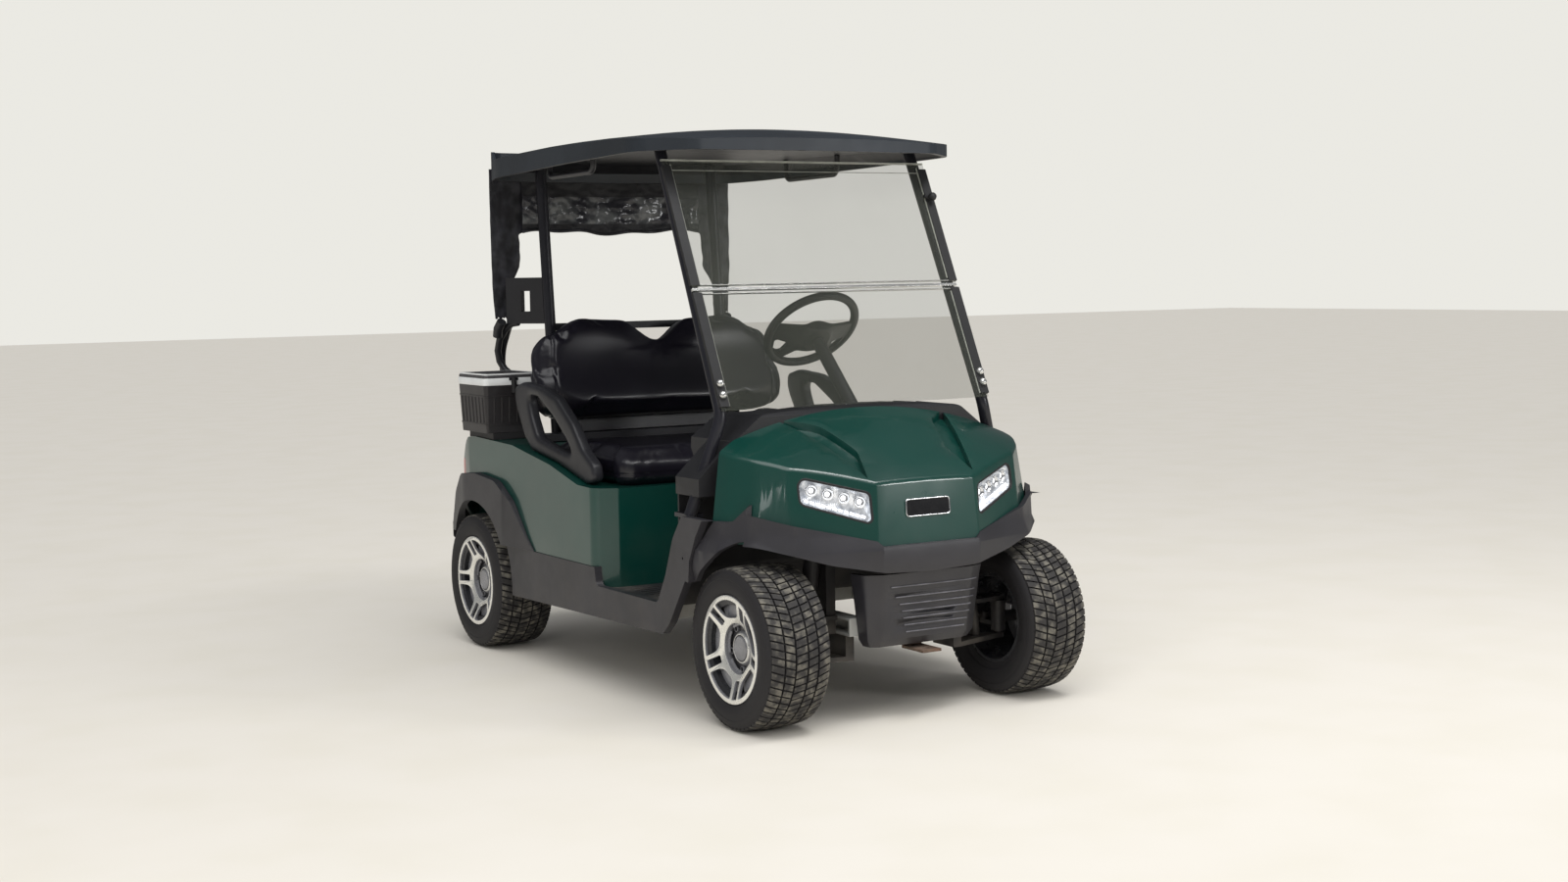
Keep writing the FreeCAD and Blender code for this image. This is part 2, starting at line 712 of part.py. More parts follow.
# Wheels
def revolved(profile):
    face = Part.Face(outline(profile, "XY", 0))
    return face.revolve(Vector(0, 0, 0), Vector(1, 0, 0), 360)


# Tyre section; u runs across the tyre and v out from the axle
def tyre_shape():
    half = tyre_half_width
    edge = half - 10.0
    bead = rim_barrel_radius + bead_gap
    flange = rim_flange_radius + bead_gap
    groove_rows = [-46.0, -16.0, 16.0, 46.0]
    top = []
    for centre in groove_rows:
        left = centre - tread_groove_width / 2
        right = centre + tread_groove_width / 2
        top += [(left, tyre_radius), (left, tyre_radius - tread_groove_depth),
                (right, tyre_radius - tread_groove_depth), (right, tyre_radius)]
    profile = [(-(half - 18.0), bead), (-(half - 18.0), flange), (-(half - 5.0), flange + 22.0, 20.0),
               (-half, 188.0, 30.0), (-edge, tyre_radius - 6.0), (-edge + 14.0, tyre_radius)]
    profile += top
    profile += [(edge - 14.0, tyre_radius), (edge, tyre_radius - 6.0), (half, 188.0, 30.0),
                (half - 5.0, flange + 22.0, 20.0), (half - 18.0, flange), (half - 18.0, bead)]
    return revolved(profile)


def rim_shape():
    inner = rim_barrel_radius - rim_barrel_wall
    edge = tyre_half_width - 18.0 + seat_gap
    outside = rim_face_offset
    pieces = [revolved([(-edge - 6.0, inner), (outside - 6.0, inner), (outside, inner + 4.0),
                        (outside, rim_flange_radius - 3.0), (edge, rim_flange_radius),
                        (edge, rim_barrel_radius),
                        (-edge, rim_barrel_radius), (-edge, rim_flange_radius),
                        (-edge - 6.0, rim_flange_radius)])]
    face = outside - 4.0
    back = face - spoke_thickness
    floor = back - 6.0
    bore_end = face - 16.0
    recess = hub_ring_radius - hub_ring_wall
    pieces.append(revolved([(back - 22.0, hub_bore_radius), (bore_end, hub_bore_radius),
                            (bore_end, cap_radius),
                            (floor, cap_radius), (floor, recess), (face, recess), (face, hub_ring_radius),
                            (floor - 8.0, hub_ring_radius), (floor - 8.0, hub_radius),
                            (back - 22.0, hub_radius)]))
    pieces.append(cylinder(cap_radius, Vector(bore_end, 0, 0), Vector(face - 7.0, 0, 0)))
    fork = [(-9.0, hub_ring_radius - 4.0), (9.0, hub_ring_radius - 4.0), (fork_half, inner + 2.0),
            (-fork_half, inner + 2.0)]
    fork_gap = fork_half - fork_arm
    gap = [(0.0, hub_ring_radius + 9.0), (fork_gap, inner - 1.0), (-fork_gap, inner - 1.0)]
    for i in range(spoke_count):
        arms = prism(fork, "YZ", back, face).cut(prism(gap, "YZ", back - 1.0, face + 1.0))
        arms.rotate(Vector(0, 0, 0), Vector(1, 0, 0), i * 360.0 / spoke_count)
        pieces.append(arms)
    rim = united(pieces)
    for i in range(spoke_count):
        turn = 2 * math.pi * (i + 0.5) / spoke_count
        lug_circle = (recess + cap_radius) / 2
        middle = Vector(0, lug_circle * math.sin(turn), lug_circle * math.cos(turn))
        low_end = middle + Vector(floor - 9.0, 0, 0)
        rim = rim.cut(cylinder(lug_hole_radius, low_end, middle + Vector(floor + 1.0, 0, 0)))
    return rim


def wheel_place(shape, x, y):
    placed = shape.copy()
    if x < 0:
        placed = mirrored(placed)
    placed.translate(Vector(x, y, axle_height))
    return placed


# Front suspension: lower and upper arms, kingpin eyes and spring struts, each side the same
def front_suspension():
    y = front_axle_y
    low_z = 168.0
    arm = prism([(rail_outer - 12.0, y - 66.0), (kingpin_x - 20.0, y - 16.0),
                 (kingpin_x + 14.0, y - 16.0, 12.0),
                 (kingpin_x + 14.0, y + 16.0, 12.0), (kingpin_x - 20.0, y + 16.0),
                 (rail_outer - 12.0, y + 38.0)],
                "XY", low_z, low_z + 14.0)
    bracket = block(rail_outer - 40.0, rail_outer - 12.0, y - 66.0, y + 38.0, low_z, rail_bottom)
    upper = prism([(rail_outer, y - 45.0), (330.0, y - 45.0, 20.0), (kingpin_x + 14.0, y - 14.0, 10.0),
                   (kingpin_x + 14.0, y + 14.0, 10.0), (330.0, y + 45.0, 20.0), (rail_outer, y + 45.0)],
                  "XY", 286.0, 298.0)
    tower = block(rail_outer, rail_outer + 30.0, y - 34.0, y + 34.0, rail_bottom, 530.0)
    strut_low = Vector(300.0, y, low_z + 10.0)
    strut_high = Vector(262.0, y, 505.0)
    run = (strut_high - strut_low).normalize()
    strut = [cylinder(15.0, strut_low, strut_high),
             cylinder(24.0, strut_low + run * 130.0, strut_high - run * 20.0)]
    passage = cylinder(30.0, strut_low, strut_high)
    half = united([arm, bracket, upper.cut(passage), tower] + strut)
    kingpin_low = Vector(kingpin_x, y, 100.0)
    half = half.cut(cylinder(kingpin_radius + seat_gap, kingpin_low, Vector(kingpin_x, y, 400.0)))
    return half, mirrored(half)


# Knuckle: kingpin, spindle to the wheel and the arm that the tie rod pulls
def knuckle():
    pin_low = Vector(kingpin_x, front_axle_y, 168.0)
    pin = cylinder(kingpin_radius, pin_low, Vector(kingpin_x, front_axle_y, 302.0))
    barrel = cylinder(22.0, Vector(kingpin_x, front_axle_y, 190.0), Vector(kingpin_x, front_axle_y, 280.0))
    tip = front_half_track + rim_face_offset - 4.0 - 16.0 - 2.0
    spindle = cylinder(hub_bore_radius - seat_gap, Vector(kingpin_x, front_axle_y, axle_height),
                       Vector(tip, front_axle_y, axle_height))
    arm_y = front_axle_y + steering_arm_length
    arm = block(kingpin_x - 11.0, kingpin_x + 11.0, front_axle_y, arm_y,
                tie_rod_height - 24.0, tie_rod_height - 10.5)
    eye = cylinder(13.0, Vector(kingpin_x, arm_y, tie_rod_height - 24.0),
                   Vector(kingpin_x, arm_y, tie_rod_height - 10.5))
    stud = cylinder(6.0, Vector(kingpin_x, arm_y, tie_rod_height - 24.0),
                    Vector(kingpin_x, arm_y, tie_rod_height + 12.0))
    return united([pin, barrel, spindle, arm, eye, stud])


def tie_rod():
    y = front_axle_y + steering_arm_length
    rod_end = Vector(kingpin_x, y, tie_rod_height)
    rod = cylinder(tie_rod_radius, Vector(-kingpin_x, y, tie_rod_height), rod_end)
    pieces = [rod]
    for x in (-kingpin_x, kingpin_x):
        pieces.append(cylinder(14.0, Vector(x, y, tie_rod_height - 9.5), Vector(x, y, tie_rod_height + 9.5)))
    shape = united(pieces)
    shape = shape.cut(cylinder(6.0 + seat_gap, Vector(-kingpin_x, y, 150.0), Vector(-kingpin_x, y, 300.0)))
    return shape.cut(cylinder(7.5, Vector(kingpin_x, y, 150.0), Vector(kingpin_x, y, 300.0)))


# Rear axle with its motor, brake drums and spindle ends
def rear_axle():
    tip = rear_half_track + rim_face_offset - 4.0 - 16.0 - 2.0
    centre = Vector(0, rear_axle_y, axle_height)
    tube = cylinder(32.0, centre + Vector(-400, 0, 0), centre + Vector(400, 0, 0))
    shaft = cylinder(hub_bore_radius - seat_gap, centre + Vector(-tip, 0, 0), centre + Vector(tip, 0, 0))
    gearcase = cylinder(88.0, centre + Vector(-60, 0, 0), centre + Vector(60, 0, 0))
    motor = cylinder(84.0, centre + Vector(60, 0, 0), centre + Vector(290, 0, 0))
    drums = []
    for side in (-1, 1):
        drums.append(cylinder(95.0, centre + Vector(side * 400, 0, 0), centre + Vector(side * 470, 0, 0)))
    return united([tube, shaft, gearcase, motor] + drums)


# Leaf springs hung below the cross members and clamped under the axle
def rear_springs():
    x0 = 352.0
    width = 45.0
    leaf = 12.0
    low = axle_height - 32.0 - seat_gap
    front_z = rail_bottom
    rear_z = rail_top + rail_end_rise - rail_depth
    y = rear_axle_y
    top = [(330.0, front_z), (380.0, front_z, 60.0), (y - 110.0, low, 200.0), (y + 110.0, low, 200.0),
           (985.0, rear_z, 60.0), (1025.0, rear_z)]
    bottom = [(1025.0, rear_z - leaf), (985.0, rear_z - leaf, 60.0), (y + 112.0, low - leaf, 200.0),
              (y - 112.0, low - leaf, 200.0), (380.0, front_z - leaf, 60.0), (330.0, front_z - leaf)]
    spring = prism(top + bottom, "YZ", x0, x0 + width)
    return spring, mirrored(spring)


# Seat bottom, a crowned cushion with a rolled front edge and a rear edge that is round about its pivot
def seat_cushion():
    side = [(-190.0, cushion_low), (-214.0, 640.0, 20.0), (-212.0, 700.0, 40.0), (-120.0, 716.0, 60.0),
            (seat_rear, 712.0, 30.0), (seat_rear, cushion_low, cushion_round)]
    form = prism(side, "YZ", -seat_half_width, seat_half_width)
    plan = full_outline([(0.0, -220.0), (seat_half_width, -205.0, 70.0),
                         (seat_half_width, seat_rear + 5.0, 30.0),
                         (0.0, seat_rear + 5.0)])
    cushion = form.common(prism(plan, "XY", 500.0, 800.0))
    socket = seat_pin(seat_pin_radius + pin_gap, seat_half_width - 14.0, seat_half_width + 1.0)
    return cushion.cut(socket).cut(mirrored(socket))


seat_back_low = Vector(0, 452.0, 750.0)


def leaned(shape):
    turned = shape.copy()
    turned.rotate(Vector(0, 0, 0), Vector(1, 0, 0), -seat_back_lean)
    turned.translate(seat_back_low)
    return turned


# Seat back pad with its two lobes
def seat_back():
    side = seat_half_width
    half = [(0.0, 0.0), (side - 22.0, 0.0, 40.0), (side, 150.0, 200.0), (side - 8.0, 300.0, 130.0),
            (330.0, 404.0, 150.0), (130.0, 404.0, 90.0), (0.0, 318.0, 60.0)]
    depth = seat_pad_thickness / 2
    pad = prism(full_outline(half), "XZ", -depth, depth)
    front_edges = [edge for edge in pad.Edges if edge.BoundBox.YMax < 1.0 - depth]
    return leaned(pad.makeFillet(seat_pad_round, front_edges))


# Moulded shell behind the seat back, and the trim bar that the pad stands on
def seat_back_frame():
    near = seat_pad_thickness / 2 + seat_gap
    shell_half = rear_post_x + rear_post_radius
    shell = leaned(prism(full_outline([(0.0, -18.0), (shell_half - 15.0, -18.0, 30.0),
                                       (shell_half, 250.0, 80.0),
                                       (shell_half - 80.0, 330.0, 80.0), (0.0, 300.0)]), "XZ", near,
                                       near + 14.0))
    bar_low = body_top_z(512.0) + seat_gap
    trim_half = seat_half_width - 45.0
    trim = block(-trim_half, trim_half, bay_rear + deck_wall, 512.0, bar_low, 738.8)
    return united([shell, trim])


# Armrest loops beside the seat, on the body's top edge
def armrests():
    seat = [(y, body_top_z(y) + seat_gap) for y in (343.0, 139.0, -60.0)]
    outer = [(468.0, 868.0), (464.0, 905.0, 20.0), (395.0, 922.0, 40.0), (259.0, 911.0, 60.0),
             (147.0, 882.0, 60.0),
             (29.0, 802.0, 60.0), (-42.0, 726.0, 60.0), (-115.0, 684.0, 15.0), (-128.0, 639.0, 15.0),
             (-100.0, body_top_z(-100.0) + 4.0, 6.0)]
    outer += list(reversed(seat)) + [(389.0, 733.0, 40.0), (455.0, 833.0, 40.0)]
    inner = [(367.0, 882.0, 20.0), (285.0, 876.0, 60.0), (173.0, 818.0, 60.0), (66.0, 743.0, 60.0),
             (34.0, 705.0),
             (112.0, 712.0), (293.0, 745.0, 40.0), (336.0, 810.0, 40.0)]
    near = seat_half_width + 8.0
    far = body_half_width - 27.0
    rest = prism(outer, "YZ", near, far).cut(prism(inner, "YZ", near - 10.0, far + 10.0))
    return rest, mirrored(rest)


front_post_base = Vector(body_half_width - 30.0, -735.0, 582.0)
front_post_bend = Vector(glass_half_width - 8.0, -772.0, 862.0)
front_post_top = Vector(glass_half_width - 21.0, -405.0, roof_ceiling - 10.0)


def front_post(radius):
    run = front_post_top - front_post_bend
    tip = front_post_top + run * (1.7 / run.z)
    points = [(p.x, p.y, p.z, bend) for p, bend in
              [(front_post_base, 0.0), (front_post_bend, 90.0), (tip, 0.0)]]
    return bar(points, radius)


def front_posts():
    foot_x = front_post_base.x
    foot = block(foot_x - 40.0, foot_x + 9.0, front_post_base.y - 5.0, firewall_y - 14.0, 576.0, 588.0)
    cap_y = front_post_top.y
    cap_x = front_post_top.x
    cap = block(cap_x - 20.0, cap_x + 22.0, cap_y - 30.0, cap_y + 50.0, front_post_top.z + 1.0,
                roof_ceiling - seat_gap)
    post = united([front_post(post_radius), foot, cap])
    return post, mirrored(post)


# Rear posts stand on a cross member behind the seat and lean back to the roof
def rear_posts(radius):
    low = rail_top + seat_gap
    high = roof_ceiling - seat_gap
    foot = Vector(rear_post_x, rear_post_foot_y, low)
    top = Vector(rear_post_x, rear_post_foot_y + rear_post_lean * (high - low), high)
    post = bar([(foot.x, foot.y, foot.z, 0), (top.x, top.y, top.z, 0)], radius)
    level = block(0, 600, 400, 800, low, high)
    post = post.common(level)
    return post, mirrored(post)


def rear_post_y(z):
    return rear_post_foot_y + rear_post_lean * (z - rail_top)


# Roof: a canopy with one smooth crown, hollow below, and a lip standing along its rear edge
roof_plan = [(0.0, -602.0), (425.0, -582.0, 90.0), (566.0, -466.0, 110.0), (566.0, 0.0, 900.0),
             (522.0, 620.0, 300.0), (470.0, 792.0, 60.0), (0.0, 832.0)]
# Columns: y, distance of the centre line below the highest place, drop at x = 450
roof_crown = [(-700.0, 74.0, 8.0), (-600.0, 54.0, 12.0), (-500.0, 32.0, 18.0), (-300.0, 9.0, 26.0),
              (0.0, 0.0, 30.0),
              (300.0, 5.0, 30.0), (560.0, 18.0, 26.0), (740.0, 34.0, 20.0), (900.0, 52.0, 14.0)]


def roof():
    plan = full_outline(roof_plan)
    low = roof_low_rear - 100.0
    crown = crowned([(y, cart_height - below, drop) for y, below, drop in roof_crown], low)
    hollow_rows = [(roof_ceiling - 85.0, roof_wall), (roof_ceiling - 30.0, roof_wall + 8.0),
                   (roof_ceiling, roof_wall + 60.0)]
    shell = prism(plan, "XY", low, cart_height + 50.0).common(crown).cut(stacked(plan, hollow_rows))
    low_edge = [(-700.0, roof_low_front), (900.0, roof_low_rear), (900.0, cart_height + 60.0),
                (-700.0, cart_height + 60.0)]
    shell = shell.common(prism(low_edge, "YZ", -700.0, 700.0))
    ring = prism(plan, "XY", roof_ceiling - 10.0, roof_lip_height)
    ring = ring.cut(prism(inset(plan, roof_lip_wall), "XY", roof_ceiling - 20.0, roof_lip_height + 10.0))
    lip_side = [(690.0, roof_ceiling - 10.0), (748.0, roof_lip_height + 1.0), (900.0, roof_lip_height + 1.0),
                (900.0, roof_ceiling - 10.0)]
    return united([shell, ring.common(prism(lip_side, "YZ", -700.0, 700.0))])


# Hand grips under the roof, one over each doorway
def roof_grips():
    x = 452.0
    high = roof_ceiling - seat_gap
    low = high - 64.0
    grip = bar([(x, 20.0, high, 0), (x, 24.0, low, 24.0), (x, 346.0, low - 4.0, 24.0), (x, 350.0, high, 0)],
               9.0)
    grip = grip.common(block(0, 600, -100, 500, low - 60.0, high))
    return grip, mirrored(grip)


# A point beside the leaning posts; height along their axis and distance square to it
def post_at(height, distance):
    run = front_post_top - front_post_bend
    run.x = 0
    run = run.normalize()
    out = Vector(0, -run.z, run.y)
    share = (height - front_post_bend.z) / run.z
    return Vector(0, front_post_bend.y, front_post_bend.z) + run * share + out * distance


# A flat strip in front of the leaning posts
def post_strip(near, far, low, high, x0, x1):
    corners = [post_at(low, near), post_at(high, near), post_at(high, far), post_at(low, far)]
    return prism([(point.y, point.z) for point in corners], "YZ", x0, x1)


channel_web = 3.0
glass_near = post_radius + seat_gap + channel_web + seat_gap
glass_far = glass_near + glass_thickness
channel_far = glass_far + seat_gap + channel_web
hinge_low = 1204.0
hinge_high = 1216.0
glass_low = 868.0
glass_high = roof_ceiling - 65.0


# Windshield: a fixed lower pane and a folding upper pane, and the rail between them
def windshield():
    lower = post_strip(glass_near, glass_far, glass_low, hinge_low - seat_gap,
                       -glass_half_width, glass_half_width)
    upper = post_strip(glass_near, glass_far, hinge_high + seat_gap, glass_high, -glass_half_width,
                       glass_half_width)
    return lower, upper


def windshield_rail():
    return post_strip(glass_near - 2.0, glass_far + 2.0, hinge_low, hinge_high,
                      -glass_half_width, glass_half_width)


# Rubber channels on the posts, slotted to take the edges of the two panes
def windshield_channels():
    strip = post_strip(post_radius + seat_gap, channel_far, glass_low + 10.0, glass_high - 20.0,
                       glass_half_width - 26.0, glass_half_width + 4.0)
    slot = post_strip(glass_near - seat_gap, glass_far + seat_gap, glass_low, glass_high,
                      glass_half_width - 30.0,
                      glass_half_width + seat_gap)
    rail_gap = post_strip(0.0, channel_far + 5.0, hinge_low - 4.0, hinge_high + 4.0, 0.0, flare_half_width)
    strip = strip.cut(slot).cut(rail_gap)
    return strip, mirrored(strip)


# Round clamp knobs on the front of the channels
def windshield_knobs():
    pieces = []
    side = Vector(glass_half_width - 11.0, 0, 0)
    for height in (908.0, 940.0):
        near = post_at(height, channel_far + seat_gap) + side
        knob = cylinder(10.0, near, post_at(height, channel_far + seat_gap + 12.0) + side)
        pieces += [knob, mirrored(knob)]
    return pieces


# Bag rack between the rear posts: a low beam, and a slotted wing with its brace at each side
def bag_rack():
    beam_z = 1080.0
    beam_y = rear_post_y(beam_z)
    beam = block(-rear_post_x, rear_post_x, beam_y - 12.0, beam_y + 12.0, beam_z, beam_z + 24.0)
    wing = block(0, 168.0, -11.0, 11.0, 1104.0, 1262.0)
    wing = wing.cut(block(70.0, 106.0, -20.0, 20.0, 1146.0, 1216.0))
    wing.rotate(Vector(0, 0, 0), Vector(0, 0, 1), 58.0)
    wing.translate(Vector(rear_post_x, rear_post_y(1180.0), 0))
    tie = block(rear_post_x, rear_post_x + 10.0, beam_y - 12.0, beam_y + 12.0, beam_z, 1120.0)
    foot_z = well_top + seat_gap
    brace_x = well_half - panel_wall / 2
    brace = bar([(411.0, 777.0, 1125.0, 0), (brace_x + 6.0, 884.0, 1000.0, 120.0),
                 (brace_x, 860.0, foot_z - 20.0, 0)], 11.0)
    brace = brace.common(block(300, 600, 600, 950, foot_z, 1200))
    side = united([wing, tie, brace])
    rack = united([beam, side, mirrored(side)])
    for post in rear_posts(rear_post_radius + seat_gap):
        rack = rack.cut(post)
    return rack


# Rain cover: fabric that hangs from the roof's rear edge, a strip at each side and a short curtain between
def cover_sheet(view):
    near = [(p[0], p[1]) for p in roof_plan[4:]]
    outside = inset(full_outline([(0.0, 400.0)] + near), -11.0)
    inside = inset(full_outline([(0.0, 400.0)] + near), 1.5)
    sheet = prism(outside, "XY", 1100.0, roof_ceiling - 10.0).cut(prism(inside, "XY", 1000.0, cart_height))
    return sheet.common(prism(view, "XZ", 700.0, 900.0))


def cover_strips():
    high = roof_ceiling - 15.0
    view = [(352.0, high), (474.0, high), (476.0, 1300.0), (466.0, 1115.0), (410.0, 1122.0), (400.0, 1240.0),
            (364.0, 1270.0), (352.0, 1420.0)]
    strip = cover_sheet(view).cut(roof())
    return strip, mirrored(strip)


def cover_curtain():
    high = roof_ceiling - 15.0
    view = full_outline([(0.0, high), (349.0, high), (349.0, 1420.0), (0.0, 1415.0)])
    return cover_sheet(view).cut(roof())


# Steering wheel and its column, leaning back at 45 degrees
wheel_centre = Vector(268.0, -95.0, 1078.0)
column_axis = Vector(0, -math.sin(math.radians(45)), -math.cos(math.radians(45)))
column_radius = 22.0
shaft_radius = 9.0
ring_radius = 155.0


def steering_wheel():
    ring = Part.makeTorus(ring_radius, 14.0)
    shaft = Part.makeCylinder(shaft_radius, 40.0, Vector(0, 0, -90.0))
    section = [(0.0, -52.0), (46.0, -52.0, 8.0), (66.0, -34.0), (ring_radius, -6.0), (ring_radius, 6.0),
               (66.0, -22.0, 20.0), (48.0, -8.0, 10.0), (0.0, -4.0)]
    dish = Part.Face(outline(section, "XZ", 0)).revolve(Vector(0, 0, 0), Vector(0, 0, 1), 360)
    arms = full_outline([(0.0, -50.0), (52.0, -46.0, 30.0), (170.0, -28.0), (170.0, 52.0), (96.0, 140.0),
                         (0.0, 140.0)])
    dish = dish.common(prism(arms, "XY", -60.0, 20.0))
    foot_gap = full_outline([(0.0, 70.0), (44.0, 66.0, 12.0), (78.0, 132.0, 14.0), (0.0, 138.0)])
    side_gap = [(84.0, 34.0, 10.0), (134.0, 26.0, 10.0), (120.0, 78.0, 12.0), (92.0, 92.0, 12.0)]
    for opening in (foot_gap, side_gap, [(-x, y, r) for x, y, r in side_gap]):
        dish = dish.cut(prism(opening, "XY", -60.0, 20.0))
    wheel = united([ring, shaft, dish])
    wheel.rotate(Vector(0, 0, 0), Vector(1, 0, 0), -45.0)
    wheel.translate(wheel_centre)
    return wheel


def steering_column():
    length = (wheel_centre.y - firewall_y) / -column_axis.y
    column_end = wheel_centre + column_axis * (length + 40)
    column = cylinder(column_radius, wheel_centre + column_axis * 58.0, column_end)
    socket = cylinder(shaft_radius + seat_gap, wheel_centre + column_axis * 50.0,
                      wheel_centre + column_axis * 96.0)
    cabin_side = block(0, 600, firewall_y + seat_gap, 400, 300, 1200)
    return column.cut(socket).common(cabin_side)


# Cooler on its bracket over the right rear quarter, with a lid hinged on its inner long edge
def cooler_bracket():
    back = cooler_rear - 22.0
    low = [(y, body_top_z(y) + seat_gap) for y in (cooler_front + 10.0, body_rear - 250.0, back)]
    side = low + [(back, cooler_low - seat_gap), (cooler_front + 10.0, cooler_low - seat_gap)]
    return prism(side, "YZ", cooler_outer + 30.0, cooler_inner - 10.0)


cooler_pin_x = cooler_inner + 2 * cooler_pin_radius + pin_gap
cooler_pin_z = cooler_rim + 1.0
knuckle_front = cooler_front + 55.0
knuckle_rear = cooler_rear - 55.0


# A round along the lid's hinge line
def cooler_round(radius, start, end):
    from_point = Vector(cooler_pin_x, start, cooler_pin_z)
    return cylinder(radius, from_point, Vector(cooler_pin_x, end, cooler_pin_z))


cooler_plan = [(cooler_outer, cooler_front, cooler_corner), (cooler_inner, cooler_front, cooler_corner),
               (cooler_inner, cooler_rear, cooler_corner), (cooler_outer, cooler_rear, cooler_corner)]


def cooler_body():
    wall = cooler_wall
    box = stacked(cooler_plan, [(cooler_low, cooler_draft), (cooler_rim, 0.0)])
    space = stacked(cooler_plan, [(cooler_low + wall, cooler_draft + wall), (cooler_rim + 10.0, wall)])
    pieces = [box.cut(space), cooler_round(cooler_pin_radius, knuckle_front - 12.0, knuckle_rear + 12.0)]
    for start, end in ((knuckle_front - 14.0, knuckle_front - pin_gap),
                       (knuckle_rear + pin_gap, knuckle_rear + 14.0)):
        pieces.append(cooler_round(2 * cooler_pin_radius, start, end))
        pieces.append(block(cooler_inner - 4.0, cooler_pin_x, start, end, cooler_rim - 12.0, cooler_rim))
    return united(pieces)


def cooler_lid():
    crown = [(cooler_rim + seat_gap, 0.0), (cooler_high - 8.0, 0.0), (cooler_high, 6.0)]
    lid = stacked(cooler_plan, crown)
    lid = lid.cut(prism(inset(cooler_plan, 26.0), "XY", cooler_high - 3.0, cooler_high + 1.0))
    flap = block(cooler_inner - 1.0, cooler_pin_x, knuckle_front, knuckle_rear, cooler_pin_z + 1.0,
                 cooler_pin_z + 2 * cooler_pin_radius)
    barrel = cooler_round(2 * cooler_pin_radius, knuckle_front, knuckle_rear)
    bore = cooler_round(cooler_pin_radius + pin_gap, knuckle_front - 1.0, knuckle_rear + 1.0)
    return united([lid, flap, barrel]).cut(bore)


def main():
    os.makedirs("parts", exist_ok=True)
    save("frame_rails", *frame_rails())
    save("frame_crossmembers", *frame_crossmembers())
    save("floor_pan", floor_pan())
    save("sills", *sills())
    save("cowl", cowl())
    save("headlamps", *headlamps())
    save("front_bumper", front_bumper())
    save("front_skirt", front_skirt())
    save("tow_bracket", tow_bracket())
    save("dash", dash())
    save("pedals", *pedals())
    save("rear_body", rear_body())
    save("tail_lamps", *tail_lamps())
    save("rear_flares", *rear_flares())
    save("rear_bumper", rear_bumper())
    save("bag_well", bag_well())
    save("battery_pack", battery_pack())
    tyre = tyre_shape()
    rim = rim_shape()
    places = [("front_right", -front_half_track, front_axle_y),
              ("front_left", front_half_track, front_axle_y),
              ("rear_right", -rear_half_track, rear_axle_y), ("rear_left", rear_half_track, rear_axle_y)]
    for corner, x, y in places:
        save("tyre_" + corner, wheel_place(tyre, x, y))
        save("rim_" + corner, wheel_place(rim, x, y))
    save("front_suspension", *front_suspension())
    left = knuckle()
    save("knuckle_left", left)
    save("knuckle_right", mirrored(left))
    save("tie_rod", tie_rod())
    save("rear_axle", rear_axle())
    save("rear_springs", *rear_springs())
    save("seat_cushion", seat_cushion())
    save("seat_back", seat_back())
    save("seat_back_frame", seat_back_frame())
    save("armrests", *armrests())
    save("front_posts", *front_posts())
    save("rear_posts", *rear_posts(rear_post_radius))
    save("roof", roof())
    save("roof_grips", *roof_grips())
    save("windshield", *windshield())
    save("windshield_rail", windshield_rail())
    save("windshield_channels", *windshield_channels())
    save("windshield_knobs", *windshield_knobs())
    save("bag_rack", bag_rack())
    save("cover_strips", *cover_strips())
    save("cover_curtain", cover_curtain())
    save("steering_wheel", steering_wheel())
    save("steering_column", steering_column())
    save("cooler_bracket", cooler_bracket())
    save("cooler_body", cooler_body())
    save("cooler_lid", cooler_lid())


main()
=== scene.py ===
import bmesh
import bpy
import math
from mathutils import Matrix, Vector, noise
from mathutils.bvhtree import BVHTree


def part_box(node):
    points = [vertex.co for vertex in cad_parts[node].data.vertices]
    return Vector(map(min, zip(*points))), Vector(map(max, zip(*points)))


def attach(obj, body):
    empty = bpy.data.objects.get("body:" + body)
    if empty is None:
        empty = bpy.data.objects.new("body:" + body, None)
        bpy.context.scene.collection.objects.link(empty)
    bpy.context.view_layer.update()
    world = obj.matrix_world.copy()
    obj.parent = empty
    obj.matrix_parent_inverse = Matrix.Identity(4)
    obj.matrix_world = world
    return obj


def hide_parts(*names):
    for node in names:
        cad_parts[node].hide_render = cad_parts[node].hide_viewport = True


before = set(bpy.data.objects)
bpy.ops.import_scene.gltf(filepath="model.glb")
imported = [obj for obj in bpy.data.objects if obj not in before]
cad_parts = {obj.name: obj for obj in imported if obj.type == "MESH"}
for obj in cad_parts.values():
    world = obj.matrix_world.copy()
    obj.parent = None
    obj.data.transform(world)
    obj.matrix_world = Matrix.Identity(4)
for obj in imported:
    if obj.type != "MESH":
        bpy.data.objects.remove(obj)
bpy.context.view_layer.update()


# Ground and light
# The cart stands on smooth pale concrete before a pale wall, in soft light from a high
# ceiling and from a wide opening on its front right side.
floor_half = 40.0
floor_colour = (0.72, 0.68, 0.61, 1.0)
floor_stain = (0.70, 0.66, 0.58, 1.0)
wall_colour = (0.83, 0.82, 0.77, 1.0)
sky_level = 0.55
gloss_level = 0.12
sky_colour = (0.95, 0.97, 1.0, 1.0)
sun_level = 1.55
sun_breadth = 55.0


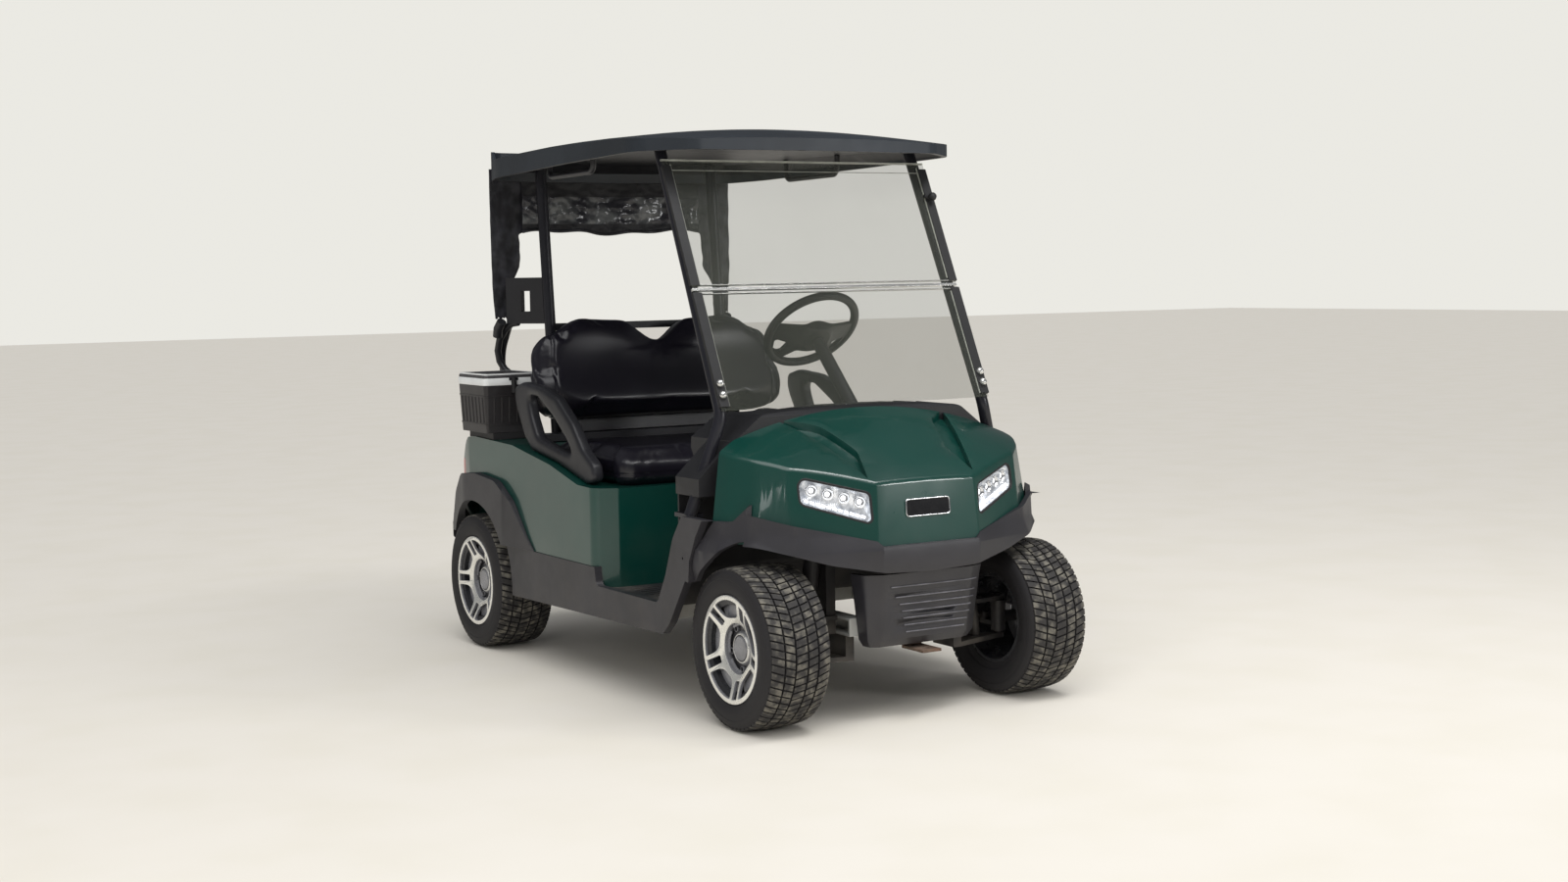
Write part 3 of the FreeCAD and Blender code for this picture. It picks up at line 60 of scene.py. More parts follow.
class Shade:
    """A socket of a node tree. Sums on it add Math nodes, and node adds any other node."""

    def __init__(self, tree, socket=None):
        self.tree = tree
        self.socket = socket

    def node(self, kind, settings=(), inputs=(), output=0):
        made = self.tree.nodes.new("ShaderNode" + kind)
        for name, value in dict(settings).items():
            if name == "stops":
                while len(made.color_ramp.elements) < len(value):
                    made.color_ramp.elements.new(0.5)
                for element, (place, level) in zip(made.color_ramp.elements, value):
                    element.position = place
                    element.color = (level, level, level, 1.0)
            else:
                setattr(made, name, value)
        for name, value in dict(inputs).items():
            if isinstance(value, Shade):
                self.tree.links.new(value.socket, made.inputs[name])
            else:
                made.inputs[name].default_value = value
        return Shade(self.tree, made.outputs[output])

    def math(self, operation, *values):
        return self.node("Math", {"operation": operation}, enumerate((self,) + values))

    def __add__(self, other):
        return self.math("ADD", other)

    def __sub__(self, other):
        return self.math("SUBTRACT", other)

    def __rsub__(self, other):
        return self.node("Math", {"operation": "SUBTRACT"}, ((0, other), (1, self)))

    def __mul__(self, other):
        return self.math("MULTIPLY", other)

    __radd__ = __add__
    __rmul__ = __mul__

    def between(self, low, high):
        """0 below low, 1 above high and smooth between."""
        settings = {"interpolation_type": "SMOOTHSTEP"}
        return self.node("MapRange", settings, {"Value": self, "From Min": low, "From Max": high})

    def blend(self, first, second):
        """The first colour where this is 0 and the second where it is 1."""
        return self.node("Mix", {"data_type": "RGBA"}, {0: self, 6: first, 7: second}, 2)

    def into(self, name):
        shader = next(n for n in self.tree.nodes if n.type == "BSDF_PRINCIPLED")
        self.tree.links.new(self.socket, shader.inputs[name])


def new_material(name, roughness=0.5, metallic=0.0, **sockets):
    """A material, and the Shade that starts its nodes."""
    material = bpy.data.materials.new(name)
    material.use_nodes = True
    shader = next(n for n in material.node_tree.nodes if n.type == "BSDF_PRINCIPLED")
    shader.inputs["Roughness"].default_value = roughness
    shader.inputs["Metallic"].default_value = metallic
    for socket, value in sockets.items():
        shader.inputs[socket.replace("_", " ")].default_value = value
    return material, Shade(material.node_tree)


def noise_on(shade, scale, detail=4.0, stretch=(1.0, 1.0, 1.0)):
    place = shade.node("TexCoord", output="Object")
    if stretch != (1.0, 1.0, 1.0):
        place = shade.node("Mapping", {}, {"Vector": place, "Scale": stretch})
    return shade.node("TexNoise", {}, {"Vector": place, "Scale": scale, "Detail": detail}, "Fac")


def concrete():
    material, shade = new_material("concrete", 0.85)
    broad = noise_on(shade, 3.0, 2.0).between(0.3, 0.8)
    broad.blend(floor_colour, floor_stain).into("Base Color")
    relief = noise_on(shade, 90.0, 6.0)
    shade.node("Bump", {}, {"Strength": 0.1, "Distance": 0.001, "Height": relief}).into("Normal")
    return material


floor_mesh = bmesh.new()
bmesh.ops.create_grid(floor_mesh, x_segments=1, y_segments=1, size=floor_half)
floor_data = bpy.data.meshes.new("floor")
floor_mesh.to_mesh(floor_data)
floor_data.materials.append(concrete())
floor = bpy.data.objects.new("floor", floor_data)
bpy.context.scene.collection.objects.link(floor)

world = bpy.data.worlds.new("daylight")
bpy.context.scene.world = world
world.use_nodes = True
sky = Shade(world.node_tree)
backdrop = next(n for n in world.node_tree.nodes if n.type == "BACKGROUND")
rays = world.node_tree.nodes.new("ShaderNodeLightPath")
seen = Shade(world.node_tree, rays.outputs["Is Camera Ray"])
seen = seen.math("MAXIMUM", Shade(world.node_tree, rays.outputs["Is Transmission Ray"]))
world.node_tree.links.new(seen.blend(sky_colour, wall_colour).socket, backdrop.inputs["Color"])
mirrored_sky = Shade(world.node_tree, rays.outputs["Is Glossy Ray"])
strength = seen * (1.0 - sky_level) + sky_level - mirrored_sky * (sky_level - gloss_level)
world.node_tree.links.new(strength.socket, backdrop.inputs["Strength"])

sun_data = bpy.data.lights.new("ceiling_light", "SUN")
sun_data.energy = sun_level
sun_data.angle = math.radians(sun_breadth)
sun = bpy.data.objects.new("ceiling_light", sun_data)
sun.rotation_euler = (math.radians(22.0), math.radians(-18.0), 0.0)
bpy.context.scene.collection.objects.link(sun)

# name, place, aim, width, height, watts, mirrored in gloss
soft_lights = (
    ("open_side", (-5.0, -4.2, 2.2), (0.0, -0.2, 0.7), 0.8, 2.2, 60.0, False),
    ("side_gap", (-5.0, -4.2, 1.3), (0.0, -0.2, 0.7), 0.16, 0.6, 2.0, True),
    ("front_window", (3.5, -5.9, 2.3), (0.0, 0.2, 0.9), 0.9, 0.9, 60.0, True),
    ("ceiling_strip", (0.8, -2.4, 4.6), (0.0, -0.6, 0.7), 3.0, 0.8, 80.0, True),
)
for light_name, place, aim, width, height, watts, mirrored in soft_lights:
    light_data = bpy.data.lights.new(light_name, "AREA")
    light_data.shape = "RECTANGLE"
    light_data.size = width
    light_data.size_y = height
    light_data.energy = watts
    light = bpy.data.objects.new(light_name, light_data)
    light.visible_glossy = mirrored
    light.location = place
    light.rotation_mode = "QUATERNION"
    light.rotation_quaternion = (Vector(aim) - Vector(place)).to_track_quat("-Z", "Y")
    bpy.context.scene.collection.objects.link(light)

bpy.context.scene.view_settings.view_transform = "Standard"


# Camera
# The view is from off the cart's front right corner, with a normal lens a little above the
# windshield's fold rail, tipped slightly down.
camera_place = Vector((-3.3165, -5.8426, 1.2649))
camera_yaw = math.radians(-31.1447)
camera_tilt = math.radians(90.0 - 4.6656)
camera_roll = math.radians(-0.9468)
camera_data = bpy.data.cameras.new("camera")
camera_data.sensor_width = 36.0
camera_data.lens = 47.38
camera = bpy.data.objects.new("camera", camera_data)
camera.matrix_world = (
    Matrix.Translation(camera_place)
    @ Matrix.Rotation(camera_yaw, 4, "Z")
    @ Matrix.Rotation(camera_tilt, 4, "X")
    @ Matrix.Rotation(camera_roll, 4, "Z")
)
bpy.context.scene.collection.objects.link(camera)
bpy.context.scene.camera = camera


# Chassis
# Two box rails of bare aluminium tied by cross members, a moulded floor pan over them, and
# the battery box between them. All of it wears a film of road dust that is thickest low down.
dust_colour = (0.30, 0.26, 0.21, 1.0)


def road_dust(shade, amount, top=0.55):
    """How much dust lies on a surface: more near the ground, in drifting patches."""
    place = shade.node("TexCoord", output="Object")
    height = shade.node("SeparateXYZ", {}, {"Vector": place}, "Z")
    low = 1.0 - height.between(0.05, top)
    patches = noise_on(shade, 9.0, 6.0).between(0.32, 0.75)
    return low * patches * amount


def plain_finish(name, colour, roughness, metallic=0.0, cloud=(4.0, 0.18), grain=(350.0, 0.0002),
                 dust=0.25, dust_top=0.55, uneven=0.12, **sockets):
    """A moulded or coated surface: clouded colour, uneven gloss, fine grain and road dust."""
    material, shade = new_material(name, roughness, metallic, **sockets)
    cloud_scale, cloud_depth = cloud
    grain_scale, grain_height = grain
    clouds = noise_on(shade, cloud_scale, 5.0)
    pale = tuple(min(1.0, c * (1.0 + cloud_depth)) for c in colour) + (1.0,)
    deep = tuple(c * (1.0 - cloud_depth) for c in colour) + (1.0,)
    base = clouds.between(0.3, 0.7).blend(deep, pale)
    film = road_dust(shade, dust, dust_top)
    film.blend(base, dust_colour).into("Base Color")
    wear = noise_on(shade, cloud_scale * 6.0, 3.0)
    (wear * uneven + film * 0.4 + (roughness - uneven / 2)).into("Roughness")
    relief = noise_on(shade, grain_scale, 2.0)
    shade.node("Bump", {}, {"Strength": 0.6, "Distance": grain_height, "Height": relief}).into("Normal")
    return material


def smooth_by_angle(mesh, angle):
    mesh.shade_smooth()
    mesh.set_sharp_from_angle(angle=math.radians(angle))


def finished(name, mesh, material, body, replaced=()):
    """A piece from a bmesh, riding on its body, with its finish and the nodes that it stands for."""
    data = bpy.data.meshes.new(name)
    mesh.to_mesh(data)
    mesh.free()
    data.materials.append(material)
    piece = bpy.data.objects.new(name, data)
    bpy.context.scene.collection.objects.link(piece)
    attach(piece, body)
    if replaced:
        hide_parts(*replaced)
    return piece


def welded(node):
    """A copy of a node's own form, its loose triangles joined and its flat faces whole."""
    mesh = bmesh.new()
    mesh.from_mesh(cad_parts[node].data)
    bmesh.ops.remove_doubles(mesh, verts=mesh.verts, dist=0.00002)
    flat = math.radians(0.4)
    bmesh.ops.dissolve_limit(mesh, angle_limit=flat, verts=mesh.verts, edges=mesh.edges)
    return mesh


def eased(node, material, edge=0.002, body="cart", crease=28.0, top=None):
    """The node's form with its sharp edges rounded over, as moulded and pressed parts have."""
    mesh = welded(node)
    if top:
        for vert in mesh.verts:
            vert.co.z = min(vert.co.z, top(vert.co))
    piece = finished(node + "_form", mesh, material, body, (node,))
    smooth_by_angle(piece.data, crease)
    if edge:
        rounding = piece.modifiers.new("rounded edges", "BEVEL")
        rounding.width = edge
        rounding.segments = 2
        rounding.limit_method = "ANGLE"
        rounding.angle_limit = math.radians(crease)
        rounding.harden_normals = True
    return piece


frame_alloy = plain_finish("frame_alloy", (0.42, 0.42, 0.40), 0.4, 0.35, dust=0.5, dust_top=0.8)
floor_plastic = plain_finish("floor_plastic", (0.014, 0.014, 0.016), 0.55, dust=0.35)
battery_case = plain_finish("battery_case", (0.018, 0.018, 0.02), 0.5, dust=0.4)
eased("frame_rails", frame_alloy)
eased("frame_crossmembers", frame_alloy)
eased("floor_pan", floor_plastic)
eased("battery_pack", battery_case, 0.006)


# Running gear
# A leaf-sprung rear axle with its gear case, and steered front knuckles on arms, in black
# painted steel that has gone dull and brown with dust.
gear_steel = plain_finish("gear_steel", (0.014, 0.013, 0.014), 0.5, 0.2, dust=0.35, dust_top=0.5)
eased("rear_axle", gear_steel, 0.003)
eased("rear_springs", gear_steel, 0.001)
eased("front_suspension", gear_steel, 0.0015)
eased("knuckle_right", gear_steel, 0.002, "knuckle_right")
eased("knuckle_left", gear_steel, 0.002, "knuckle_left")
eased("tie_rod", gear_steel, 0.001, "tie_rod")


# Wheels
# Low 18 inch tyres with a five-rib street tread of small slanted blocks, on cast alloy
# rims. Five pairs of bright machined arms dish in to a deep hub with a plain cap, and the
# wide pockets between the pairs have grey painted floors.
axle_height = 0.229
# name, place out and along, side, how far the spokes are turned from upright
wheel_places = (
    ("front_right", -0.444, -0.939, -1.0, 44.0),
    ("front_left", 0.444, -0.939, 1.0, 20.0),
    ("rear_right", -0.5, 0.725, -1.0, 20.0),
    ("rear_left", 0.5, 0.725, 1.0, 60.0),
)
tyre_radius = 0.229
tread_pitches = 66
groove_floor = 0.2225
# Across the tyre from the bead to the tread's edge: (distance out, radius)
sidewall = (
    (0.080, 0.1330), (0.0860, 0.1360), (0.0890, 0.1420), (0.0900, 0.1480), (0.0920, 0.1530),
    (0.0962, 0.1562), (0.0990, 0.1640), (0.1018, 0.1750), (0.1025, 0.1860), (0.1005, 0.1960),
    (0.1012, 0.1975), (0.0998, 0.2040), (0.0960, 0.2130),
)
# Ribs across the tread: (inner edge, outer edge, share of a pitch it is set round, slant in pitches)
tread_ribs = (
    (-0.0915, -0.0560, 0.00, -0.55),
    (-0.0500, -0.0225, 0.45, -0.40),
    (-0.0165, 0.0165, 0.10, 0.35),
    (0.0225, 0.0500, 0.55, 0.40),
    (0.0560, 0.0915, 0.25, 0.55),
)
# Round one pitch: (share of the pitch, 1 on the block and 0 in the cut)
block_steps = ((0.0, 1), (0.26, 1), (0.52, 1), (0.76, 1), (0.80, 0), (0.96, 0))


def tread_drop(across):
    """How far the tread's crown falls away from its full radius."""
    return 0.0055 * (across / 0.0915) ** 4


def rib_of(across):
    for rib in tread_ribs:
        if rib[0] - 0.001 <= across <= rib[1] + 0.001:
            return rib
    return None


def tyre_form():
    mesh = bmesh.new()
    wear = mesh.verts.layers.float.new("wear")
    section = [(-x, r) for x, r in sidewall]
    for inner, outer, _, _ in tread_ribs:
        section.append((inner - 0.0009, groove_floor - tread_drop(inner)))
        section.extend((x, tyre_radius - tread_drop(x)) for x in (inner, (inner + outer) / 2, outer))
        section.append((outer + 0.0009, groove_floor - tread_drop(outer)))
    section.extend((x, r) for x, r in reversed(sidewall))
    section.extend(((0.070, 0.1420), (0.0, 0.1470), (-0.070, 0.1420)))
    verts = [mesh.verts.new((x, 0.0, r)) for x, r in section]
    edges = [mesh.edges.new((a, b)) for a, b in zip(verts, verts[1:] + verts[:1])]
    steps = tread_pitches * len(block_steps)
    bmesh.ops.spin(mesh, geom=verts + edges, cent=(0, 0, 0), axis=(1, 0, 0), angle=2 * math.pi,
                   steps=steps, use_merge=True)
    bmesh.ops.remove_doubles(mesh, verts=mesh.verts, dist=0.00005)
    pitch = 2 * math.pi / tread_pitches
    for vert in mesh.verts:
        radius = math.hypot(vert.co.y, vert.co.z)
        rib = rib_of(vert.co.x)
        if radius < 0.2155 or rib is None:
            continue
        angle = math.atan2(vert.co.y, vert.co.z)
        step = round(angle / pitch * len(block_steps))
        share, high = block_steps[step % len(block_steps)]
        middle = (rib[0] + rib[1]) / 2
        turned = (step // len(block_steps) + share + rib[2]) * pitch
        turned += rib[3] * pitch * (vert.co.x - middle) / (rib[1] - rib[0])
        if radius > groove_floor - tread_drop(vert.co.x) + 0.001:
            radius = radius if high else groove_floor + 0.0012 - tread_drop(vert.co.x)
            vert[wear] = high
        vert.co.y = radius * math.sin(turned)
        vert.co.z = radius * math.cos(turned)
    bmesh.ops.recalc_face_normals(mesh, faces=mesh.faces)
    return mesh


rubber_black = (0.011, 0.010, 0.012, 1.0)
rubber_dust = (0.150, 0.138, 0.112, 1.0)


def tyre_rubber():
    material, shade = new_material("tyre_rubber", 0.7)
    place = shade.node("TexCoord", output="Object")
    worn = shade.node("Attribute", {"attribute_name": "wear"}, output="Fac")
    patches = noise_on(shade, 38.0, 7.0).between(0.36, 0.66)
    film = worn.between(0.55, 1.0) * (patches * patches * 0.85 + 0.08) + noise_on(shade, 9.0, 6.0) * 0.04
    film.blend(rubber_black, rubber_dust).into("Base Color")
    relief = shade.node("TexNoise", {}, {"Vector": place, "Scale": 500.0, "Detail": 3.0}, "Fac")
    shade.node("Bump", {}, {"Strength": 0.5, "Distance": 0.0003, "Height": relief}).into("Normal")
    return material


rubber_of_tyres = tyre_rubber()


def turned_form(mesh, profile, centre, axis, sides=24):
    """A solid of revolution added to a mesh; profile rows are (distance along the axis, radius)."""
    axis = Vector(axis).normalized()
    across = axis.orthogonal().normalized()
    up = axis.cross(across)
    rings = []
    for along, radius in profile:
        ring = []
        for k in range(sides):
            turn = 2 * math.pi * k / sides
            reach = (across * math.cos(turn) + up * math.sin(turn)) * radius
            ring.append(mesh.verts.new(Vector(centre) + axis * along + reach))
        rings.append(ring)
    for low, high in zip(rings, rings[1:]):
        for k in range(sides):
            mesh.faces.new((low[k], low[(k + 1) % sides], high[(k + 1) % sides], high[k]))
    mesh.faces.new(list(reversed(rings[0])))
    mesh.faces.new(rings[-1])


# Rim: sizes out from the wheel's middle and round its face
spoke_pairs = 5
ring_out = 0.1520
ring_in = 0.1380
ring_face = 0.0968
dish_depth = 0.026
recess_radius = 0.0710
slot_half = 0.0105
slot_end = 0.0890
arm_side = 0.0245
pocket_end = 0.0870
half_turn = math.radians(180.0 / spoke_pairs)
barrel_line = ((-0.084, 0.125), (0.084, 0.125), (0.0905, 0.140), (0.0930, 0.1395), (0.0935, 0.1505),
               (0.0890, 0.1515), (0.0785, 0.143), (0.0785, 0.131), (-0.0785, 0.131), (-0.0785, 0.143),
               (-0.084, 0.143))
# Out along the axle: (distance out, radius, finish and painted shade, where low values are black painted
# shade)
hub_line = ((0.020, 0.038, 0.3), (0.046, 0.038, 0.3), (0.046, 0.0735, 0.4), (0.0680, 0.0735, 0.6),
            (0.0690, 0.0725, 0.9), (0.0682, 0.0706, 0.5), (0.0500, 0.0700, 0.12), (0.0495, 0.0500, 0.15),
            (0.0590, 0.0420, 0.8), (0.0612, 0.0400, 0.9), (0.0612, 0.0380, 0.7), (0.0585, 0.0365, 0.1),
            (0.0585, 0.0350, 0.1), (0.0618, 0.0338, 0.55), (0.0632, 0.0310, 0.5), (0.0625, 0.0270, 0.45),
            (0.0632, 0.0100, 0.45))
# Lug nuts: (distance out, radius, finish and painted shade), with black painted shade at their foot
lug_line = ((0.0490, 0.0095, 0.2), (0.0560, 0.0092, 0.5), (0.0565, 0.0078, 0.4), (0.0510, 0.0070, 0.0))
lug_circle = 0.0600
hub_sides = 48
lug_sides = 20


def dish(radius):
    """How far the face lies in from the outer ring: deepest at the hub's edge."""
    share = min(1.0, max(0.0, (ring_in - radius) / (ring_in - recess_radius)))
    return dish_depth * share ** 1.25


def soft_outline(corners, steps=5):
    """A closed outline through corners given as (across, up, how far each is rounded)."""
    points = []
    for k, (x, y, reach) in enumerate(corners):
        corner = Vector((x, y))
        before = Vector(corners[k - 1][:2]) - corner
        after = Vector(corners[(k + 1) % len(corners)][:2]) - corner
        if not reach:
            points.append(corner)
            continue
        first = corner + before.normalized() * reach
        last = corner + after.normalized() * reach
        for i in range(steps + 1):
            t = i / steps
            points.append(first * (1 - t) ** 2 + corner * 2 * t * (1 - t) + last * t * t)
    return points


def ring_points(radius, start, end, count):
    """Points round a circle, with the angle measured from straight up."""
    turns = [start + (end - start) * k / count for k in range(count + 1)]
    return [(radius * math.sin(a), radius * math.cos(a)) for a in turns]


def turned_points(points, turn):
    along, across = math.cos(turn), math.sin(turn)
    return [(x * along + y * across, y * along - x * across) for x, y in points]


def window_outlines():
    """The face's openings: a slot inside each pair of arms and a wide pocket between the pairs."""
    slot_turn = math.asin((slot_half + 0.0015) / ring_in)
    slot = [(-slot_half, slot_end, 0.004), (slot_half, slot_end, 0.004)]
    slot += [(x, y, 0.0) for x, y in ring_points(ring_in, slot_turn, -slot_turn, 4)]
    far = math.sqrt(ring_in ** 2 - arm_side ** 2)
    near = (pocket_end - arm_side * math.sin(half_turn)) / math.cos(half_turn)
    reach_x = near * math.sin(half_turn) - arm_side * math.cos(half_turn)
    side_x = far * math.sin(half_turn) - arm_side * math.cos(half_turn)
    side_y = far * math.cos(half_turn) + arm_side * math.sin(half_turn)
    pocket_turn = math.atan2(side_x, side_y) - 0.06
    pocket = [(-reach_x, pocket_end, 0.020), (reach_x, pocket_end, 0.020), (side_x, side_y, 0.006)]
    pocket += [(x, y, 0.0) for x, y in ring_points(ring_in, pocket_turn, -pocket_turn, 10)]
    pocket.append((-side_x, side_y, 0.006))
    outlines = [ring_points(ring_out, 0.0, 2 * math.pi, 144)[:-1]]
    outlines.append(ring_points(recess_radius, 0.0, 2 * math.pi, 90)[:-1])
    for k in range(spoke_pairs):
        outlines.append(turned_points(soft_outline(slot), 2 * half_turn * k))
        outlines.append(turned_points(soft_outline(pocket), 2 * half_turn * k + half_turn))
    return outlines


def face_plate(mesh):
    """The machined face, cut from a flat plate and dished in towards the hub."""
    curve = bpy.data.curves.new("rim_face", "CURVE")
    curve.dimensions = "2D"
    curve.fill_mode = "BOTH"
    curve.extrude = 0.0035
    curve.bevel_depth = 0.0014
    curve.bevel_resolution = 1
    curve.offset = -0.0014
    for outline in window_outlines():
        spline = curve.splines.new("POLY")
        spline.points.add(len(outline) - 1)
        for point, (x, y) in zip(spline.points, outline):
            point.co = (x, y, 0.0, 1.0)
        spline.use_cyclic_u = True
    shape = bpy.data.objects.new("rim_face", curve)
    bpy.context.scene.collection.objects.link(shape)
    flat = bpy.data.meshes.new_from_object(shape.evaluated_get(bpy.context.evaluated_depsgraph_get()))
    bpy.data.objects.remove(shape)
    plate = bmesh.new()
    plate.from_mesh(flat)
    bmesh.ops.remove_doubles(plate, verts=plate.verts, dist=0.00002)
    layer = plate.verts.layers.float.new("finish")
    top = max(v.co.z for v in plate.verts)
    for vert in plate.verts:
        vert[layer] = 1.0 if vert.co.z > top - 0.0001 else 0.35
        depth = ring_face - top + vert.co.z - dish(math.hypot(vert.co.x, vert.co.y))
        vert.co = Vector((depth, vert.co.x, vert.co.y))
    plate.to_mesh(flat)
    plate.free()
    mesh.from_mesh(flat)


def pocket_floor(mesh, finish, turn):
    """The painted floor of one wide pocket: a thin plate that drops away from the hub outwards."""
    rows = []
    for radius, drop in ((0.064, 0.012), (0.090, 0.014), (0.110, 0.018), (0.131, 0.026)):
        for layer, thick in enumerate((0.0, 0.003)):
            row = []
            for k in range(13):
                a = turn + math.radians(-28.0 + 56.0 * k / 12)
                depth = ring_face - dish(radius) - drop - thick
                vert = mesh.verts.new((depth, radius * math.sin(a), radius * math.cos(a)))
                vert[finish] = 0.5
                row.append(vert)
            rows.append(row)
    upper, lower = rows[0::2], rows[1::2]
    for i in range(3):
        for k in range(12):
            mesh.faces.new((upper[i][k], upper[i][k + 1], upper[i + 1][k + 1], upper[i + 1][k]))
            mesh.faces.new((lower[i][k], lower[i][k + 1], lower[i + 1][k + 1], lower[i + 1][k]))
        for k in (0, 12):
            mesh.faces.new((upper[i][k], upper[i + 1][k], lower[i + 1][k], lower[i][k]))
    for i in (0, 3):
        for k in range(12):
            mesh.faces.new((upper[i][k], upper[i][k + 1], lower[i][k + 1], lower[i][k]))


def rim_form():
    mesh = bmesh.new()
    finish = mesh.verts.layers.float.new("finish")
    verts = [mesh.verts.new((x, 0.0, r)) for x, r in barrel_line]
    edges = [mesh.edges.new((a, b)) for a, b in zip(verts, verts[1:] + verts[:1])]
    bmesh.ops.spin(mesh, geom=verts + edges, cent=(0, 0, 0), axis=(1, 0, 0), angle=2 * math.pi,
                   steps=96, use_merge=True)
    bmesh.ops.remove_doubles(mesh, verts=mesh.verts, dist=0.00005)
    # The barrel is painted near black: painted shade, seen through the slots.
    for vert in mesh.verts:
        vert[finish] = 0.12
    mesh.verts.ensure_lookup_table()
    done = len(mesh.verts)
    turned_form(mesh, [row[:2] for row in hub_line], (0, 0, 0), (1, 0, 0), hub_sides)
    mesh.verts.ensure_lookup_table()
    for k, row in enumerate(hub_line):
        for vert in mesh.verts[done + hub_sides * k:done + hub_sides * (k + 1)]:
            vert[finish] = row[2]
    for pair in range(spoke_pairs):
        a = 2 * half_turn * pair - math.radians(11.0)
        done = len(mesh.verts)
        centre = (0.0, lug_circle * math.sin(a), lug_circle * math.cos(a))
        turned_form(mesh, [row[:2] for row in lug_line], centre, (1, 0, 0), lug_sides)
        mesh.verts.ensure_lookup_table()
        for k, row in enumerate(lug_line):
            for vert in mesh.verts[done + lug_sides * k:done + lug_sides * (k + 1)]:
                vert[finish] = row[2]
        pocket_floor(mesh, finish, 2 * half_turn * pair + half_turn)
    face_plate(mesh)
    bmesh.ops.recalc_face_normals(mesh, faces=mesh.faces)
    return mesh


def rim_metal():
    """Painted black shade in the hollows and on the barrel seen through the slots, grey paint on the sides
    and floors, bright turned metal on the face.
    """
    material, shade = new_material("rim_metal", 0.3, 0.6)
    finish = shade.node("Attribute", {"attribute_name": "finish"}, output="Fac")
    soil = noise_on(shade, 40.0, 5.0).between(0.4, 0.8) * 0.35
    paint = soil.blend((0.25, 0.25, 0.265, 1.0), (0.11, 0.105, 0.10, 1.0))
    # Painted shade: faces with low values turn black, in the hollows and on the barrel behind the slots.
    low = finish.between(0.05, 0.4).blend((0.010, 0.010, 0.012, 1.0), paint)
    bright = finish.between(0.55, 0.95)
    bright.blend(low, (0.86, 0.85, 0.80, 1.0)).into("Base Color")
    (bright * 0.35 + 0.35).into("Metallic")
    (soil * 0.3 + 0.27).into("Roughness")
    relief = noise_on(shade, 400.0, 2.0)
    shade.node("Bump", {}, {"Strength": 0.3, "Distance": 0.0002, "Height": relief}).into("Normal")
    return material


metal_of_rims = rim_metal()
rim_mesh = rim_form()
tyre_mesh = tyre_form()
for corner, x, y, side, turn in wheel_places:
    tyre = tyre_mesh.copy()
    bmesh.ops.transform(tyre, matrix=Matrix.Translation((x, y, axle_height)), verts=tyre.verts)
    body = "wheel_" + corner
    piece = finished("tyre_" + corner + "_tread", tyre, rubber_of_tyres, body, ("tyre_" + corner,))
    smooth_by_angle(piece.data, 30.0)
    rim = rim_mesh.copy()
    turned_place = Matrix.Rotation(-math.radians(turn), 4, "X")
    if side < 0:
        turned_place = Matrix.Scale(-1.0, 4, (1, 0, 0)) @ turned_place
    bmesh.ops.transform(rim, matrix=Matrix.Translation((x, y, axle_height)) @ turned_place, verts=rim.verts)
    bmesh.ops.recalc_face_normals(rim, faces=rim.faces)
    piece = finished("rim_" + corner + "_face", rim, metal_of_rims, body, ("rim_" + corner,))
    smooth_by_angle(piece.data, 32.0)


# Front body
# The cowl is one glossy green moulding with a raised centre panel. The bumper and its
# flares are a separate plum-grey textured moulding, with a ribbed skirt below. The lamps
# are clear units with four round reflectors over a thin strip of lights.
body_green = plain_finish("body_green", (0.002, 0.038, 0.029), 0.3, cloud=(2.0, 0.1), grain=(900.0, 0.00003),
                          dust=0.04, dust_top=0.9, Coat_Weight=0.5, Coat_Roughness=0.05)
trim_plastic = plain_finish("trim_plastic", (0.024, 0.023, 0.027), 0.44, dust=0.08, grain=(700.0, 0.0002))
rust_steel = plain_finish("rust_steel", (0.10, 0.055, 0.035), 0.8, 0.2, cloud=(30.0, 0.5), dust=0.5)
chrome = plain_finish("chrome", (0.75, 0.76, 0.78), 0.12, 0.95, cloud=(12.0, 0.06), dust=0.0)
gloss_black = plain_finish("gloss_black", (0.008, 0.008, 0.009), 0.16, cloud=(9.0, 0.2), dust=0.02)
gasket_rubber = plain_finish("gasket_rubber", (0.012, 0.012, 0.013), 0.6, dust=0.0)
eased("cowl", body_green, 0.004)
eased("front_bumper", trim_plastic, 0.006,
      top=lambda place: max(0.580, 0.640 - 0.5 * max(0.0, abs(place.x) - 0.450) - max(0.0, place.y + 0.950)))
eased("front_skirt", trim_plastic, 0.0015)
eased("tow_bracket", rust_steel, 0.001)
eased("sills", trim_plastic, 0.004, top=lambda place: 0.585)


def tube_along(mesh, points, radius, sides=8, closed=False):
    """A round bar through points, added to a mesh, with flat ends where it isn't closed."""
    points = [Vector(p) for p in points]
    count = len(points)
    rings = []
    across = Vector((0.0, 0.0, 1.0))
    for i, point in enumerate(points):
        before = points[i - 1] if closed or i else point
        after = points[(i + 1) % count] if closed or i + 1 < count else point
        run = (after - before).normalized()
        across = (across - run * across.dot(run))
        if across.length < 0.05:
            across = run.orthogonal()
        across.normalize()
        up = run.cross(across)
        ring = []
        for k in range(sides):
            turn = 2 * math.pi * k / sides
            ring.append(mesh.verts.new(point + (across * math.cos(turn) + up * math.sin(turn)) * radius))
        rings.append(ring)
    pairs = list(zip(rings, rings[1:] + rings[:1])) if closed else list(zip(rings, rings[1:]))
    for low, high in pairs:
        for k in range(sides):
            mesh.faces.new((low[k], low[(k + 1) % sides], high[(k + 1) % sides], high[k]))
    if not closed:
        mesh.faces.new(list(reversed(rings[0])))
        mesh.faces.new(rings[-1])


def facing(mesh, outward, spread=0.85):
    mesh.normal_update()
    return [f for f in mesh.faces if f.normal.dot(outward) > spread]
